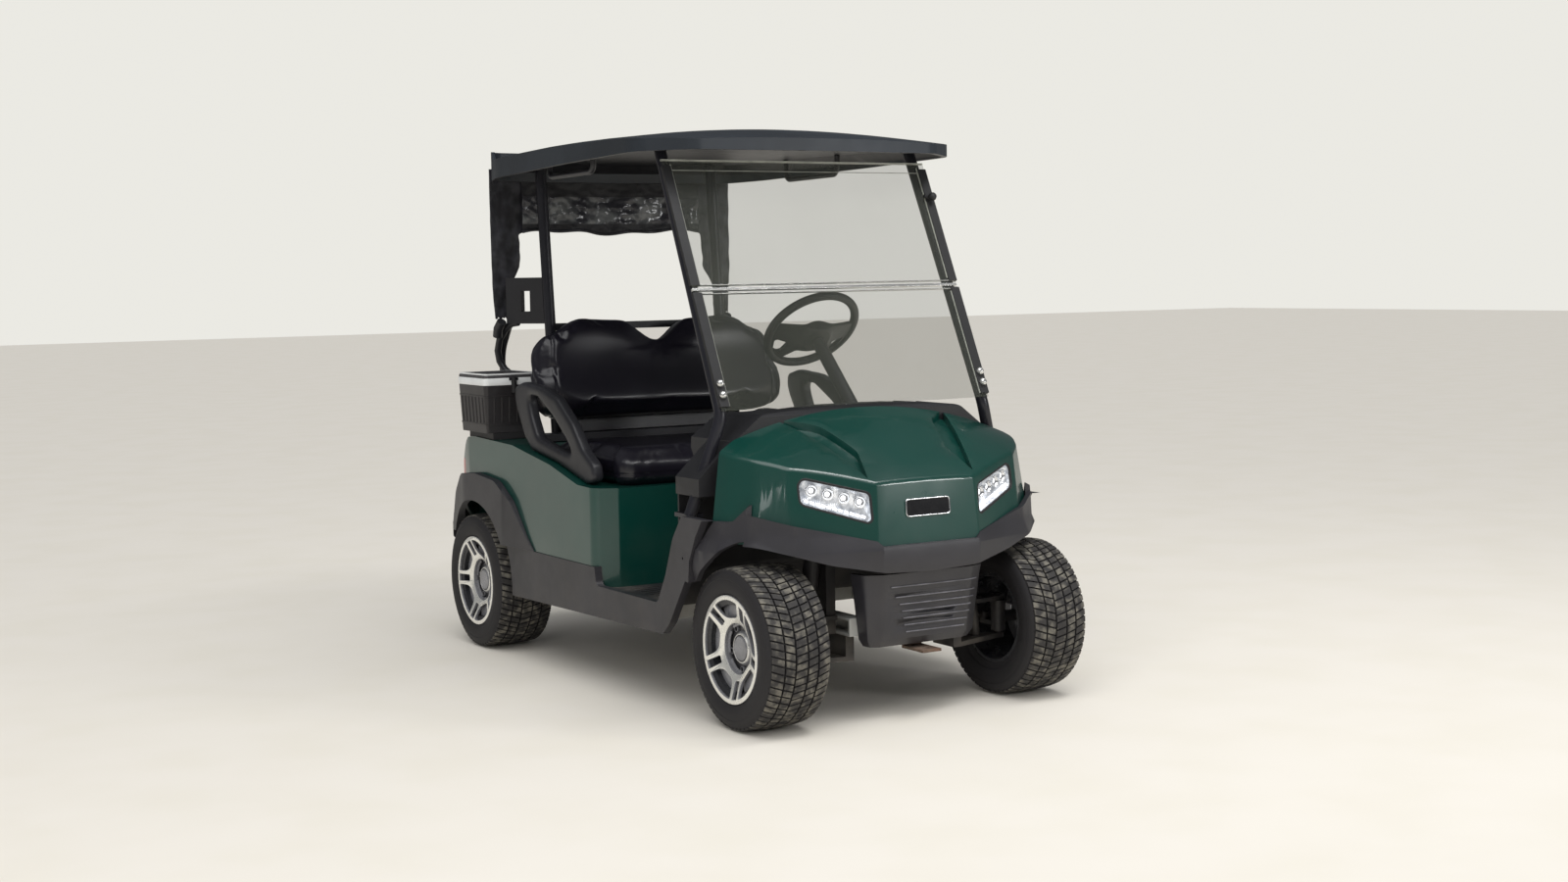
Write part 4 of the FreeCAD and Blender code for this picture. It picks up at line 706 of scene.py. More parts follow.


# Material of the lamp's inside: bright plating, with fine upright flutes and a painted glow in clouds
def lamp_plating():
    material, shade = new_material("lamp_plating", 0.2, 0.7)
    place = shade.node("TexCoord", output="Object")
    flutes = shade.node("TexWave", {"bands_direction": "X"}, {"Vector": place, "Scale": 60.0}, "Fac")
    clouds = noise_on(shade, 45.0, 4.0).between(0.35, 0.65)
    plated = clouds.blend((0.42, 0.44, 0.48, 1.0), (0.85, 0.87, 0.90, 1.0))
    rubber = shade.node("Attribute", {"attribute_name": "gasket"}, output="Fac").between(0.70, 0.95)
    rubber.blend(plated, (0.008, 0.008, 0.009, 1.0)).into("Base Color")
    (rubber * -0.7 + 0.7).into("Metallic")
    shade.node("Bump", {}, {"Strength": 0.3, "Distance": 0.001, "Height": flutes}).into("Normal")
    # Painted glow: the plating gives off a little light in clouds, so that it looks brightly lit.
    painted_glow = clouds.blend((0.35, 0.38, 0.42, 1.0), (0.95, 0.97, 1.0, 1.0))
    rubber.blend(painted_glow, (0.0, 0.0, 0.0, 1.0)).into("Emission Color")
    shader = next(n for n in material.node_tree.nodes if n.type == "BSDF_PRINCIPLED")
    shader.inputs["Emission Strength"].default_value = 0.25
    return material


def lamp_light():
    material, shade = new_material("lamp_light", 0.3)
    spots = noise_on(shade, 140.0, 2.0).between(0.2, 0.7)
    spots.blend((0.80, 0.84, 0.90, 1.0), (1.0, 1.0, 1.0, 1.0)).into("Base Color")
    spots.blend((0.80, 0.86, 0.95, 1.0), (1.0, 1.0, 1.0, 1.0)).into("Emission Color")
    shader = next(n for n in material.node_tree.nodes if n.type == "BSDF_PRINCIPLED")
    shader.inputs["Emission Strength"].default_value = 0.8
    return material


def lens_material():
    material, shade = new_material("lamp_lens", 0.05)
    haze = noise_on(shade, 60.0, 4.0).between(0.3, 0.8)
    haze.blend((0.8, 0.82, 0.85, 1.0), (0.95, 0.96, 0.98, 1.0)).into("Base Color")
    (haze * 0.04 + 0.06).into("Alpha")
    return material


plating = lamp_plating()
light_white = lamp_light()
lens_clear = lens_material()
lamp_turn = 0.364
lamp_front = 0.931
lamp_rim = 0.004
gasket_radius = 0.004
lamp_depth = 0.018
pane_inset = 0.0015
cup_shares = (0.15, 0.375, 0.60, 0.825)
cup_radius = 0.0175
strip_light_radius = 0.0042
lamp_housings = bmesh.new()
lamp_cups = bmesh.new()
lamp_lights = bmesh.new()
lamp_wells = bmesh.new()
lamp_gaskets = bmesh.new()
lamp_housings.verts.layers.float.new("gasket")
lamp_lenses = bmesh.new()


def lamp_span(loops, along, place):
    """The lowest and highest z of a lamp's window at one place along it."""
    found = []
    for edge in loops:
        first, second = (v.co for v in edge.verts)
        a, b = first.dot(along) - place, second.dot(along) - place
        if (a < 0) != (b < 0):
            found.append(first.z + (second.z - first.z) * a / (a - b))
    return min(found), max(found)


def outer_loop(faces):
    """The places round the edge of a patch of faces, in order."""
    inside = set(faces)
    edges = [e for f in faces for e in f.edges if len([g for g in e.link_faces if g in inside]) == 1]
    loop = list(edges.pop(0).verts)
    while edges:
        onward = next((e for e in edges if loop[-1] in e.verts), None)
        if onward is None:
            break
        edges.remove(onward)
        loop.append(onward.other_vert(loop[-1]))
    return [vert.co.copy() for vert in (loop[:-1] if loop[-1] is loop[0] else loop)]


def headlamp(side):
    outward = Vector((lamp_turn * side, -lamp_front, 0.0))
    along = Vector((lamp_front * side, lamp_turn, 0.0))
    housing = welded("headlamps")
    other = [f for f in housing.faces if f.calc_center_median().x * side < 0]
    bmesh.ops.delete(housing, geom=other, context="FACES")
    window = facing(housing, outward)
    tube_along(lamp_gaskets, outer_loop(window), gasket_radius, 10, True)
    bmesh.ops.inset_region(housing, faces=window, thickness=lamp_rim, use_even_offset=True)
    copies = {}
    for face in window:
        for vert in face.verts:
            if vert not in copies:
                copies[vert] = lamp_lenses.verts.new(vert.co - outward * pane_inset)
        lamp_lenses.faces.new([copies[vert] for vert in face.verts])
    inside = set(window)
    loops = [e for f in window for e in f.edges if len([g for g in e.link_faces if g in inside]) == 1]
    spans = {}
    ends = [v.co.dot(along) for f in window for v in f.verts]
    near, far = min(ends), max(ends)
    for share in [0.06 + 0.08 * k for k in range(12)] + list(cup_shares):
        spans[share] = lamp_span(loops, along, near + (far - near) * share)
    bmesh.ops.inset_region(housing, faces=window, thickness=0.0015, depth=-lamp_depth)
    layer = housing.verts.layers.float.new("gasket")
    plate_verts = {v for f in window for v in f.verts}
    for vert in housing.verts:
        vert[layer] = 0.0 if vert in plate_verts else 1.0
    housing.normal_update()
    plate = BVHTree.FromBMesh(housing)

    def on_plate(share, height, proud):
        start = along * (near + (far - near) * share) + outward * 1.5
        start.z = height
        return plate.ray_cast(start, -outward)[0] + outward * proud

    for share in cup_shares:
        low, high = spans[share]
        radius = min(cup_radius, (high - low) * 0.27)
        centre = on_plate(share, low + (high - low) * 0.63, 0.0)
        bowl = ((0.0, radius), (0.014, radius), (0.0145, radius - 0.0012), (0.010, radius * 0.86),
                (0.005, radius * 0.55), (0.003, radius * 0.32))
        turned_form(lamp_cups, bowl, centre, outward, 28)
        well = ((0.0032, radius * 0.86), (0.0062, radius * 0.80), (0.0058, radius * 0.56))
        turned_form(lamp_wells, well, centre, outward, 28)
        bulb = ((0.003, radius * 0.50), (0.006, radius * 0.46), (0.008, radius * 0.22))
        turned_form(lamp_lights, bulb, centre, outward, 20)
    shares = sorted(share for share in spans if share not in cup_shares)
    for first, second in zip(shares, shares[1:]):
        ends = []
        for share in (first + 0.012, second - 0.012):
            low = spans[first][0] if share < (first + second) / 2 else spans[second][0]
            ends.append(on_plate(share, low + 0.0095, 0.008))
        tube_along(lamp_lights, ends, strip_light_radius, 10)
    part = bpy.data.meshes.new("lamp_part")
    housing.to_mesh(part)
    lamp_housings.from_mesh(part)
    housing.free()


headlamp(1.0)
headlamp(-1.0)
for mesh in (lamp_cups, lamp_lights, lamp_wells, lamp_gaskets):
    bmesh.ops.recalc_face_normals(mesh, faces=mesh.faces)
housings = finished("headlamp_housings", lamp_housings, plating, "cart", ("headlamps",))
smooth_by_angle(housings.data, 25.0)
for name, mesh, material in (("headlamp_cups", lamp_cups, chrome),
                             ("headlamp_lights", lamp_lights, light_white),
                             ("headlamp_wells", lamp_wells, gasket_rubber),
                             ("headlamp_gaskets", lamp_gaskets, gasket_rubber),
                             ("headlamp_lenses", lamp_lenses, lens_clear)):
    smooth_by_angle(finished(name, mesh, material, "cart").data, 40.0)


# Skirt ribs: (height, right end, left end), pale along their length as a painted highlight where light
# catches their edges
skirt_ribs = (
    (0.386, -0.125, 0.190), (0.356, -0.107, 0.184), (0.335, -0.0925, 0.180), (0.3145, -0.084, 0.169),
    (0.2945, -0.078, 0.165), (0.274, -0.073, 0.156), (0.2535, -0.066, 0.148),
)
rib_radius = 0.0020
rib_casts = (-0.008, -0.004, 0.0, 0.004, 0.008)
rib_short = 0.012
# The ribs' pale colour is a painted highlight along their edges.
painted_highlight_plastic = plain_finish("painted_highlight_plastic", (0.115, 0.112, 0.125), 0.4, cloud=(25.0, 0.35), dust=0.05)
skirt_front = BVHTree.FromBMesh(welded("front_skirt"))
rib_mesh = bmesh.new()
for height, first, last in skirt_ribs:
    line = []
    for k in range(17):
        x = first + (last - rib_short - first) * k / 16
        hits = [skirt_front.ray_cast(Vector((x, -2.0, height + up)), Vector((0.0, 1.0, 0.0)))[0]
                for up in rib_casts]
        line.append(Vector((x, min(hit.y for hit in hits if hit), height)))
    tube_along(rib_mesh, line, rib_radius, 8)
bmesh.ops.recalc_face_normals(rib_mesh, faces=rib_mesh.faces)
smooth_by_angle(finished("front_skirt_ribs", rib_mesh, painted_highlight_plastic, "cart").data, 60.0)


# Blank name plate: a gloss black panel in a bright rim on the front of the cowl
plate_half = 0.074
plate_height = (0.582, 0.629)


def rounded_corners(half_width, low, high, radius, steps=6):
    points = []
    corners = ((half_width, high, 0), (-half_width, high, 1), (-half_width, low, 2), (half_width, low, 3))
    for x, z, start in corners:
        centre = (x - math.copysign(radius, x), z - radius if z == high else z + radius)
        for k in range(steps + 1):
            turn = math.pi / 2 * (start + k / steps)
            points.append((centre[0] + radius * math.cos(turn), centre[1] + radius * math.sin(turn)))
    return points


cowl_front = BVHTree.FromBMesh(welded("cowl"))


def on_cowl(x, z, proud):
    spot, normal, _, _ = cowl_front.ray_cast(Vector((x, -2.0, z)), Vector((0.0, 1.0, 0.0)))
    return spot + normal * proud


def plate_form(mesh, corners, proud):
    low = [mesh.verts.new(on_cowl(x, z, -0.001)) for x, z in corners]
    high = [mesh.verts.new(on_cowl(x, z, proud)) for x, z in corners]
    count = len(corners)
    for k in range(count):
        mesh.faces.new((low[k], low[(k + 1) % count], high[(k + 1) % count], high[k]))
    mesh.faces.new(high)
    mesh.faces.new(list(reversed(low)))
    bmesh.ops.recalc_face_normals(mesh, faces=mesh.faces)


plate_outline = rounded_corners(plate_half, plate_height[0], plate_height[1], 0.009)
plate_mesh = bmesh.new()
plate_form(plate_mesh, plate_outline, 0.003)
finished("name_plate", plate_mesh, gloss_black, "cart")
plate_ring = bmesh.new()
tube_along(plate_ring, [on_cowl(x, z, 0.0025) for x, z in plate_outline], 0.0022, 8, True)
bmesh.ops.recalc_face_normals(plate_ring, faces=plate_ring.faces)
smooth_by_angle(finished("name_plate_rim", plate_ring, chrome, "cart").data, 60.0)


# Dash and steering
# A moulded dash with bins and cup holders, black pedals, and a wide two-spoke steering
# wheel on a slanted column.
dash_plastic = plain_finish("dash_plastic", (0.013, 0.013, 0.015), 0.5, dust=0.1)
pedal_rubber = plain_finish("pedal_rubber", (0.012, 0.012, 0.013), 0.7)
eased("dash", dash_plastic, 0.003)
eased("pedals", pedal_rubber, 0.002)
eased("steering_wheel", dash_plastic, 0.002, "steering_wheel")
eased("steering_column", dash_plastic, 0.002)


# Rear body
# A green moulding wraps the seat base and the rear corners, with grey flares over the
# wheels, round red lamps, and a black bag well and bumper at the back.
lens_red = plain_finish("lens_red", (0.35, 0.01, 0.01), 0.12, dust=0.1)
eased("rear_body", body_green, 0.004)
eased("tail_lamps", lens_red, 0.002)
eased("rear_flares", trim_plastic, 0.004)
eased("rear_bumper", trim_plastic, 0.004)
eased("bag_well", floor_plastic, 0.003)


# Seat
# A bench of soft foam under smooth black vinyl. The back has two broad lobes with a dip
# between them and is fullest low down, with a sewn seam inside each end. Thick moulded
# armrest loops stand at its ends.
seat_vinyl = plain_finish("seat_vinyl", (0.009, 0.008, 0.013), 0.31, cloud=(3.0, 0.2), dust=0.0,
                          grain=(90.0, 0.00002), uneven=0.03, Coat_Weight=0.15, Coat_Roughness=0.2)
arm_plastic = plain_finish("arm_plastic", (0.015, 0.015, 0.018), 0.42, dust=0.04)
pad_voxel = 0.009
pad_passes = 10
pad_pressure = 4.0
pad_frames = 20
pad_reach = 0.028
seam_limit = 0.008
arm_voxel = 0.0055
arm_passes = 12


def worn_round(mesh, passes):
    for _ in range(passes):
        bmesh.ops.smooth_vert(mesh, verts=mesh.verts, factor=0.5, use_axis_x=True, use_axis_y=True,
                              use_axis_z=True)


def even_skin(mesh, name, voxel, passes):
    """The form under an even mesh, with its corners worn round."""
    data = bpy.data.meshes.new(name)
    mesh.to_mesh(data)
    mesh.free()
    skin = bpy.data.objects.new(name, data)
    bpy.context.scene.collection.objects.link(skin)
    remesh = skin.modifiers.new("even skin", "REMESH")
    remesh.mode = "VOXEL"
    remesh.voxel_size = voxel
    even = bpy.data.meshes.new_from_object(skin.evaluated_get(bpy.context.evaluated_depsgraph_get()))
    bpy.data.objects.remove(skin)
    smooth = bmesh.new()
    smooth.from_mesh(even)
    worn_round(smooth, passes)
    return smooth


def swollen(node, shrink, shape, seams):
    """The node's pad as foam under a skin: shaped, blown up a little as cloth, its seams drawn in."""
    start = welded(node)
    bmesh.ops.triangulate(start, faces=start.faces)
    low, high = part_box(node)
    middle = (Vector(low) + Vector(high)) / 2
    reach = (Vector(high) - Vector(low)) / 2
    for vert in start.verts:
        away = vert.co - middle
        vert.co = middle + Vector([a * (1.0 - shrink / r) for a, r in zip(away, reach)])
    start = even_skin(start, node + "_start", pad_voxel, pad_passes)
    if shape:
        for vert in start.verts:
            vert.co += shape(vert.co)
    start.normal_update()
    data = bpy.data.meshes.new(node + "_skin")
    start.to_mesh(data)
    before = [v.co.copy() for v in start.verts]
    skin = bpy.data.objects.new(node + "_skin", data)
    bpy.context.scene.collection.objects.link(skin)
    cloth = skin.modifiers.new("skin", "CLOTH")
    cloth.settings.use_pressure = True
    cloth.settings.uniform_pressure_force = pad_pressure
    cloth.settings.effector_weights.gravity = 0.0
    for frame_number in range(1, pad_frames + 1):
        bpy.context.scene.frame_set(frame_number)
    blown = bpy.data.meshes.new_from_object(skin.evaluated_get(bpy.context.evaluated_depsgraph_get()))
    after = [v.co.copy() for v in blown.vertices]
    bpy.context.scene.frame_set(1)
    bpy.data.objects.remove(skin)
    for vert, first, last in zip(start.verts, before, after):
        travel = last - first
        if travel.length > pad_reach:
            travel *= pad_reach / travel.length
        vert.co = first + travel
    worn_round(start, 1)
    bmesh.ops.subdivide_edges(start, edges=start.edges, cuts=1, use_grid_fill=True, smooth=0.6)
    start.normal_update()
    for vert in start.verts:
        vert.co -= vert.normal * min(sum(seam(vert.co) for seam in seams), seam_limit)
    return start


def groove(distance, width, depth):
    return depth * math.exp(-((distance / width) ** 2))


def back_shape(place):
    """Fullness low on the back's front, a hollow above it, and lower corners that curve up."""
    front = min(1.0, max(0.0, 1.0 - (place.y - 0.41 - (place.z - 0.75) * 0.21) / 0.06))
    lobe = 0.6 + 0.4 * groove(abs(place.x) - 0.25, 0.17, 1.0)
    push = groove(place.z - 0.84, 0.075, 0.022) * lobe - groove(place.z - 1.01, 0.07, 0.006)
    corner = max(0.0, abs(place.x) - 0.33) / 0.17
    lift = 0.055 * corner * corner * min(1.0, max(0.0, (0.93 - place.z) / 0.18))
    return Vector((0.0, -push * front, lift))


def end_seam(place):
    """The upright seams inside the ends of the back."""
    edge = 0.415 - 0.16 * max(0.0, place.z - 0.98)
    return groove(abs(place.x) - edge, 0.005, 0.0035) if place.y < 0.53 else 0.0


def cushion_welt(place):
    """The seam that runs round the cushion below its top panel."""
    return groove(place.z - 0.650, 0.004, 0.002)


back = finished("seat_back_pad", swollen("seat_back", 0.012, back_shape, (end_seam,)), seat_vinyl, "cart",
                ("seat_back",))
base = finished("seat_cushion_pad", swollen("seat_cushion", 0.010, None, (cushion_welt,)), seat_vinyl,
                "seat_cushion", ("seat_cushion",))
for pad in (back, base):
    pad.data.shade_smooth()
eased("seat_back_frame", arm_plastic, 0.004)
arm_skin = even_skin(welded("armrests"), "armrest_skin", arm_voxel, arm_passes)
rests = finished("armrest_loops", arm_skin, arm_plastic, "cart", ("armrests",))
rests.data.shade_smooth()


# Posts, roof and windshield
# Satin black aluminium posts carry a moulded roof. A two-pane clear windshield folds at a
# bright rail, sits in black channels and is held by round knobs low on its sides and a
# small black catch near the top of the left post.
post_paint = plain_finish("post_paint", (0.014, 0.014, 0.019), 0.32, 0.1, dust=0.04)
roof_plastic = plain_finish("roof_plastic", (0.014, 0.019, 0.026), 0.46, dust=0.0)
rail_alloy = plain_finish("rail_alloy", (0.72, 0.72, 0.70), 0.25, 0.85, dust=0.0)
glass_edge = plain_finish("glass_edge", (0.42, 0.43, 0.38), 0.2, cloud=(20.0, 0.2), dust=0.0)
eased("front_posts", post_paint, 0.001)
eased("rear_posts", post_paint, 0.001)


def darker_below(material, colour, low=0.2, high=0.7):
    """Deepens a material on faces that look down, as under the roof where little light reaches."""
    tree = material.node_tree
    shader = next(n for n in tree.nodes if n.type == "BSDF_PRINCIPLED")
    base = Shade(tree, shader.inputs["Base Color"].links[0].from_socket)
    normal = Shade(tree).node("NewGeometry", output="Normal")
    down = normal.node("SeparateXYZ", {}, {"Vector": normal}, "Z") * -1.0
    down.between(low, high).blend(base, colour).into("Base Color")


darker_below(roof_plastic, (0.004, 0.004, 0.006, 1.0))
eased("roof", roof_plastic, 0.009)
eased("roof_grips", arm_plastic, 0.002)
eased("windshield_channels", gasket_rubber, 0.001)

pane_half = 0.466
pane_low = Vector((0.0, -0.7913, 0.8767))
pane_high = Vector((0.0, -0.4521, 1.6002))
pane_run = (pane_high - pane_low).normalized()
pane_out = Vector((0.0, -pane_run.z, pane_run.y))
pane_top = 1.5985
seal_height = 1.568
side_edge_in = 0.0275
rail_height = 1.220
rail_half = 0.0125
rail_clear = 0.02
knob_out = 0.455
knob_heights = (0.9195, 0.9515)
catch_out = 0.452
catch_height = 1.484
# Out from the windshield: (distance out, radius)
knob_line = ((-0.001, 0.0075), (0.001, 0.0095), (0.004, 0.0112), (0.008, 0.0115), (0.012, 0.0098),
             (0.0145, 0.0065), (0.0155, 0.003))
catch_line = ((-0.004, 0.006), (0.010, 0.006), (0.014, 0.011), (0.022, 0.0135), (0.030, 0.011),
              (0.034, 0.005))


def on_pane(x, height, proud=0.0):
    """A place on the front of the windshield, which leans back as it rises."""
    share = (height - pane_low.z) / pane_run.z
    return pane_low + pane_run * share + pane_out * proud + Vector((x, 0.0, 0.0))


def pane_material():
    material, shade = new_material("windshield_pane", 0.04)
    film = noise_on(shade, 3.0, 5.0).between(0.35, 0.8)
    film.blend((0.085, 0.090, 0.075, 1.0), (0.115, 0.120, 0.098, 1.0)).into("Base Color")
    (film * 0.06 + 0.02).into("Roughness")
    (film * 0.03 + 0.19).into("Alpha")
    return material


def bar_along(mesh, first, second, wide, deep):
    """A flat bar between two points, wide across its run in the pane and deep out of it."""
    run = (second - first).normalized()
    side = run.cross(pane_out).normalized()
    rings = []
    for point in (first, second):
        ring = []
        for across, out in ((-1, -1), (1, -1), (1, 1), (-1, 1)):
            ring.append(mesh.verts.new(point + side * across * wide / 2 + pane_out * out * deep / 2))
        rings.append(ring)
    for k in range(4):
        mesh.faces.new((rings[0][k], rings[0][(k + 1) % 4], rings[1][(k + 1) % 4], rings[1][k]))
    mesh.faces.new(list(reversed(rings[0])))
    mesh.faces.new(rings[1])


def rounded(piece, width, segments=2):
    rounding = piece.modifiers.new("rounded edges", "BEVEL")
    rounding.width = width
    rounding.segments = segments
    rounding.limit_method = "ANGLE"
    rounding.harden_normals = True
    piece.data.shade_smooth()
    return piece


eased("windshield", pane_material(), 0.0005)
rail_mesh = bmesh.new()
for height, wide, deep in ((rail_height, 0.0085, 0.010), (rail_height + rail_half, 0.0032, 0.008),
                           (rail_height - rail_half, 0.0032, 0.008)):
    bar_along(rail_mesh, on_pane(-pane_half, height, -0.002), on_pane(pane_half, height, -0.002), wide, deep)
bmesh.ops.recalc_face_normals(rail_mesh, faces=rail_mesh.faces)
rounded(finished("windshield_fold_rail", rail_mesh, rail_alloy, "cart", ("windshield_rail",)),
        0.001)

edge_mesh = bmesh.new()
bar_along(edge_mesh, on_pane(-pane_half, pane_top), on_pane(pane_half, pane_top), 0.004, 0.0062)
seal_ends = [on_pane(x, seal_height, 0.002) for x in (-pane_half, pane_half)]
bar_along(edge_mesh, seal_ends[0], seal_ends[1], 0.002, 0.001)
for side in (-1.0, 1.0):
    x = side * (pane_half - side_edge_in)
    for low, high in ((0.890, rail_height - rail_clear), (rail_height + rail_clear, 1.585)):
        bar_along(edge_mesh, on_pane(x, low, 0.001), on_pane(x, high, 0.001), 0.003, 0.003)
bmesh.ops.recalc_face_normals(edge_mesh, faces=edge_mesh.faces)
finished("windshield_edges", edge_mesh, glass_edge, "cart")

knob_mesh = bmesh.new()
catch_mesh = bmesh.new()
for side in (-1.0, 1.0):
    for height in knob_heights:
        turned_form(knob_mesh, knob_line, on_pane(side * knob_out, height, 0.004), pane_out, 20)
turned_form(catch_mesh, catch_line, on_pane(catch_out, catch_height, 0.002), pane_out, 20)
tube_along(catch_mesh, [on_pane(catch_out, catch_height, 0.010), on_pane(0.430, 1.492, 0.012)], 0.006, 10)
for mesh in (knob_mesh, catch_mesh):
    bmesh.ops.recalc_face_normals(mesh, faces=mesh.faces)
knobs = finished("windshield_ball_knobs", knob_mesh, rail_alloy, "cart", ("windshield_knobs",))
smooth_by_angle(knobs.data, 50.0)
smooth_by_angle(finished("windshield_catch", catch_mesh, gasket_rubber, "cart").data, 50.0)


# Bag rack and rain cover
# A moulded rack holds the bags upright behind the seat. A thin black rain cover is tied back
# at the roof's rear edge: a crumpled strip hangs at each side, and between them a short
# curtain with a creased clear window over a dark hem.
eased("bag_rack", arm_plastic, 0.004)
hook_radius = 0.0125
hook_line = ((0.398, 0.752, 1.108), (0.412, 0.778, 1.104), (0.424, 0.806, 1.084), (0.432, 0.836, 1.050),
             (0.432, 0.856, 1.010), (0.426, 0.856, 0.972), (0.416, 0.838, 0.944), (0.408, 0.815, 0.930))
clamp_radius = 0.017
clamp_line = ((0.448, 0.778, 1.112), (0.452, 0.800, 1.088), (0.450, 0.812, 1.060))
hook_mesh = bmesh.new()
for side in (-1.0, 1.0):
    tube_along(hook_mesh, [(side * x, y, z) for x, y, z in hook_line], hook_radius, 12)
    tube_along(hook_mesh, [(side * x, y, z) for x, y, z in clamp_line], clamp_radius, 12)
bmesh.ops.recalc_face_normals(hook_mesh, faces=hook_mesh.faces)
smooth_by_angle(finished("bag_rack_hooks", hook_mesh, arm_plastic, "cart").data, 50.0)


def cover_fabric():
    material, shade = new_material("cover_fabric", 0.62)
    place = shade.node("TexCoord", output="Object")
    # Painted sheen: the cloth's colour is lighter in patches, which are also less rough.
    painted_sheen = noise_on(shade, 22.0, 6.0).between(0.35, 0.7)
    painted_sheen.blend((0.010, 0.010, 0.013, 1.0), (0.034, 0.034, 0.042, 1.0)).into("Base Color")
    creases = shade.node("TexNoise", {"noise_type": "RIDGED_MULTIFRACTAL"},
                         {"Vector": place, "Scale": 9.0, "Detail": 5.0}, "Fac")
    weave = noise_on(shade, 900.0, 1.0)
    height = creases * 0.004 + weave * 0.0002
    shade.node("Bump", {}, {"Strength": 0.8, "Distance": 1.0, "Height": height}).into("Normal")
    (painted_sheen * -0.2 + 0.66).into("Roughness")
    return material


def window_film(low, high):
    """The curtain's material: black above and below, and creased clear film between two heights, dark grey
    with painted reflections on its folds.
    """
    material, shade = new_material("cover_window", 0.5)
    place = shade.node("TexCoord", output="Object")
    height = shade.node("SeparateXYZ", {}, {"Vector": place}, "Z")
    film = height.between(low, low + 0.004) * (1.0 - height.between(high - 0.004, high))
    folds = noise_on(shade, 8.0, 3.0, (1.0, 1.0, 1.5))
    # Painted reflections: pale patches on the folds and a thin pale line stand in for light on the creased
    # film.
    bright = folds.between(0.45, 0.60) * 0.7 + folds.between(0.66, 0.69) * 0.6
    film_with_painted_glints = bright.blend((0.030, 0.030, 0.036, 1.0), (0.17, 0.18, 0.18, 1.0))
    film.blend((0.013, 0.013, 0.016, 1.0), film_with_painted_glints).into("Base Color")
    (film * -0.42 + 0.6).into("Roughness")
    creases = shade.node("TexNoise", {"noise_type": "RIDGED_MULTIFRACTAL"},
                         {"Vector": place, "Scale": 12.0, "Detail": 5.0}, "Fac")
    shade.node("Bump", {}, {"Strength": 0.9, "Distance": 1.0, "Height": creases * 0.005}).into("Normal")
    return material


def hung_sheet(name, rows, columns, place, material, node):
    """A sheet hung from the roof's edge; place gives a point from shares across and down."""
    mesh = bmesh.new()
    shares = [a / columns for a in range(columns + 1)]
    grid = [[mesh.verts.new(place(across, d / rows)) for across in shares] for d in range(rows + 1)]
    for upper, lower in zip(grid, grid[1:]):
        for k in range(columns):
            mesh.faces.new((upper[k], upper[k + 1], lower[k + 1], lower[k]))
    piece = finished(name, mesh, material, "cart", (node,))
    piece.data.shade_smooth()
    thickness = piece.modifiers.new("cloth thickness", "SOLIDIFY")
    thickness.thickness = 0.0016
    thickness.offset = 0.0
    return piece


def crumple(x, z, seed):
    """How far creased cloth stands out of its plane at a place."""
    broad = noise.noise(Vector((x * 16.0, z * 4.0, seed)))
    fine = noise.noise(Vector((x * 38.0, z * 19.0, seed + 7.0)))
    return broad * 0.009 + fine * 0.005


cover_nodes = [BVHTree.FromBMesh(welded(node)) for node in ("cover_curtain", "cover_strips")]


def cover_depth(x):
    """The middle of the cover's cloth, behind one place along the roof's rear edge."""
    for tree in cover_nodes:
        reach = max(0.356, min(abs(x), 0.470)) if tree is cover_nodes[1] else x
        hit = tree.ray_cast(Vector((math.copysign(reach, x), 2.0, 1.5)), Vector((0.0, -1.0, 0.0)))[0]
        if hit:
            return hit.y - 0.006


cover_top = 1.636
curtain_low = 1.418
curtain_half = 0.350
window_heights = (1.447, 1.545)
# Down one strip: (height, inner edge, outer edge)
strip_rows = ((cover_top, 0.330, 0.473), (1.424, 0.332, 0.473), (1.412, 0.360, 0.473), (1.300, 0.364, 0.472),
              (1.262, 0.384, 0.470), (1.230, 0.402, 0.470), (1.122, 0.413, 0.463))


def strip_place(side):
    def place(across, down):
        z = strip_rows[0][0] + (strip_rows[-1][0] - strip_rows[0][0]) * down
        for upper, lower in zip(strip_rows, strip_rows[1:]):
            if lower[0] <= z + 0.0001:
                break
        share = (upper[0] - z) / (upper[0] - lower[0])
        inner = upper[1] + (lower[1] - upper[1]) * share
        outer = upper[2] + (lower[2] - upper[2]) * share
        ragged = 0.007 * noise.noise(Vector((z * 23.0, side, 3.0)))
        x = inner + ragged + (outer - inner - ragged) * across
        fray = 0.012 * max(0.0, down - 0.97) / 0.03 * noise.noise(Vector((across * 6.0, side, 9.0)))
        loose = 0.35 + 0.65 * min(1.0, down * 3.0)
        return Vector((side * x, cover_depth(side * x) + crumple(x, z, side) * loose, z + fray))

    return place


def curtain_place(across, down):
    x = -curtain_half + 2.0 * curtain_half * across
    sag = 0.006 * math.sin(across * 9.0) + 0.004 * math.sin(across * 23.0)
    z = cover_top + (curtain_low + sag - cover_top) * down
    loose = 0.2 + 0.8 * min(1.0, down * 2.2)
    return Vector((x, cover_depth(x) - 0.004 + crumple(x * 0.8, z * 2.5, 5.0) * loose, z))


black_fabric = cover_fabric()
for side, name in ((-1.0, "right"), (1.0, "left")):
    strip = hung_sheet("rain_strip_" + name, 90, 26, strip_place(side), black_fabric, "cover_strips")
curtain_film = window_film(window_heights[0], window_heights[1])
curtain = hung_sheet("rain_curtain", 40, 110, curtain_place, curtain_film, "cover_curtain")
hem_mesh = bmesh.new()
hem_line = [curtain_place(k / 60, 0.985) for k in range(61)]
tube_along(hem_mesh, hem_line, 0.0055, 8)
bmesh.ops.recalc_face_normals(hem_mesh, faces=hem_mesh.faces)
hem = finished("rain_curtain_hem", hem_mesh, black_fabric, "cart")
hem.data.shade_smooth()


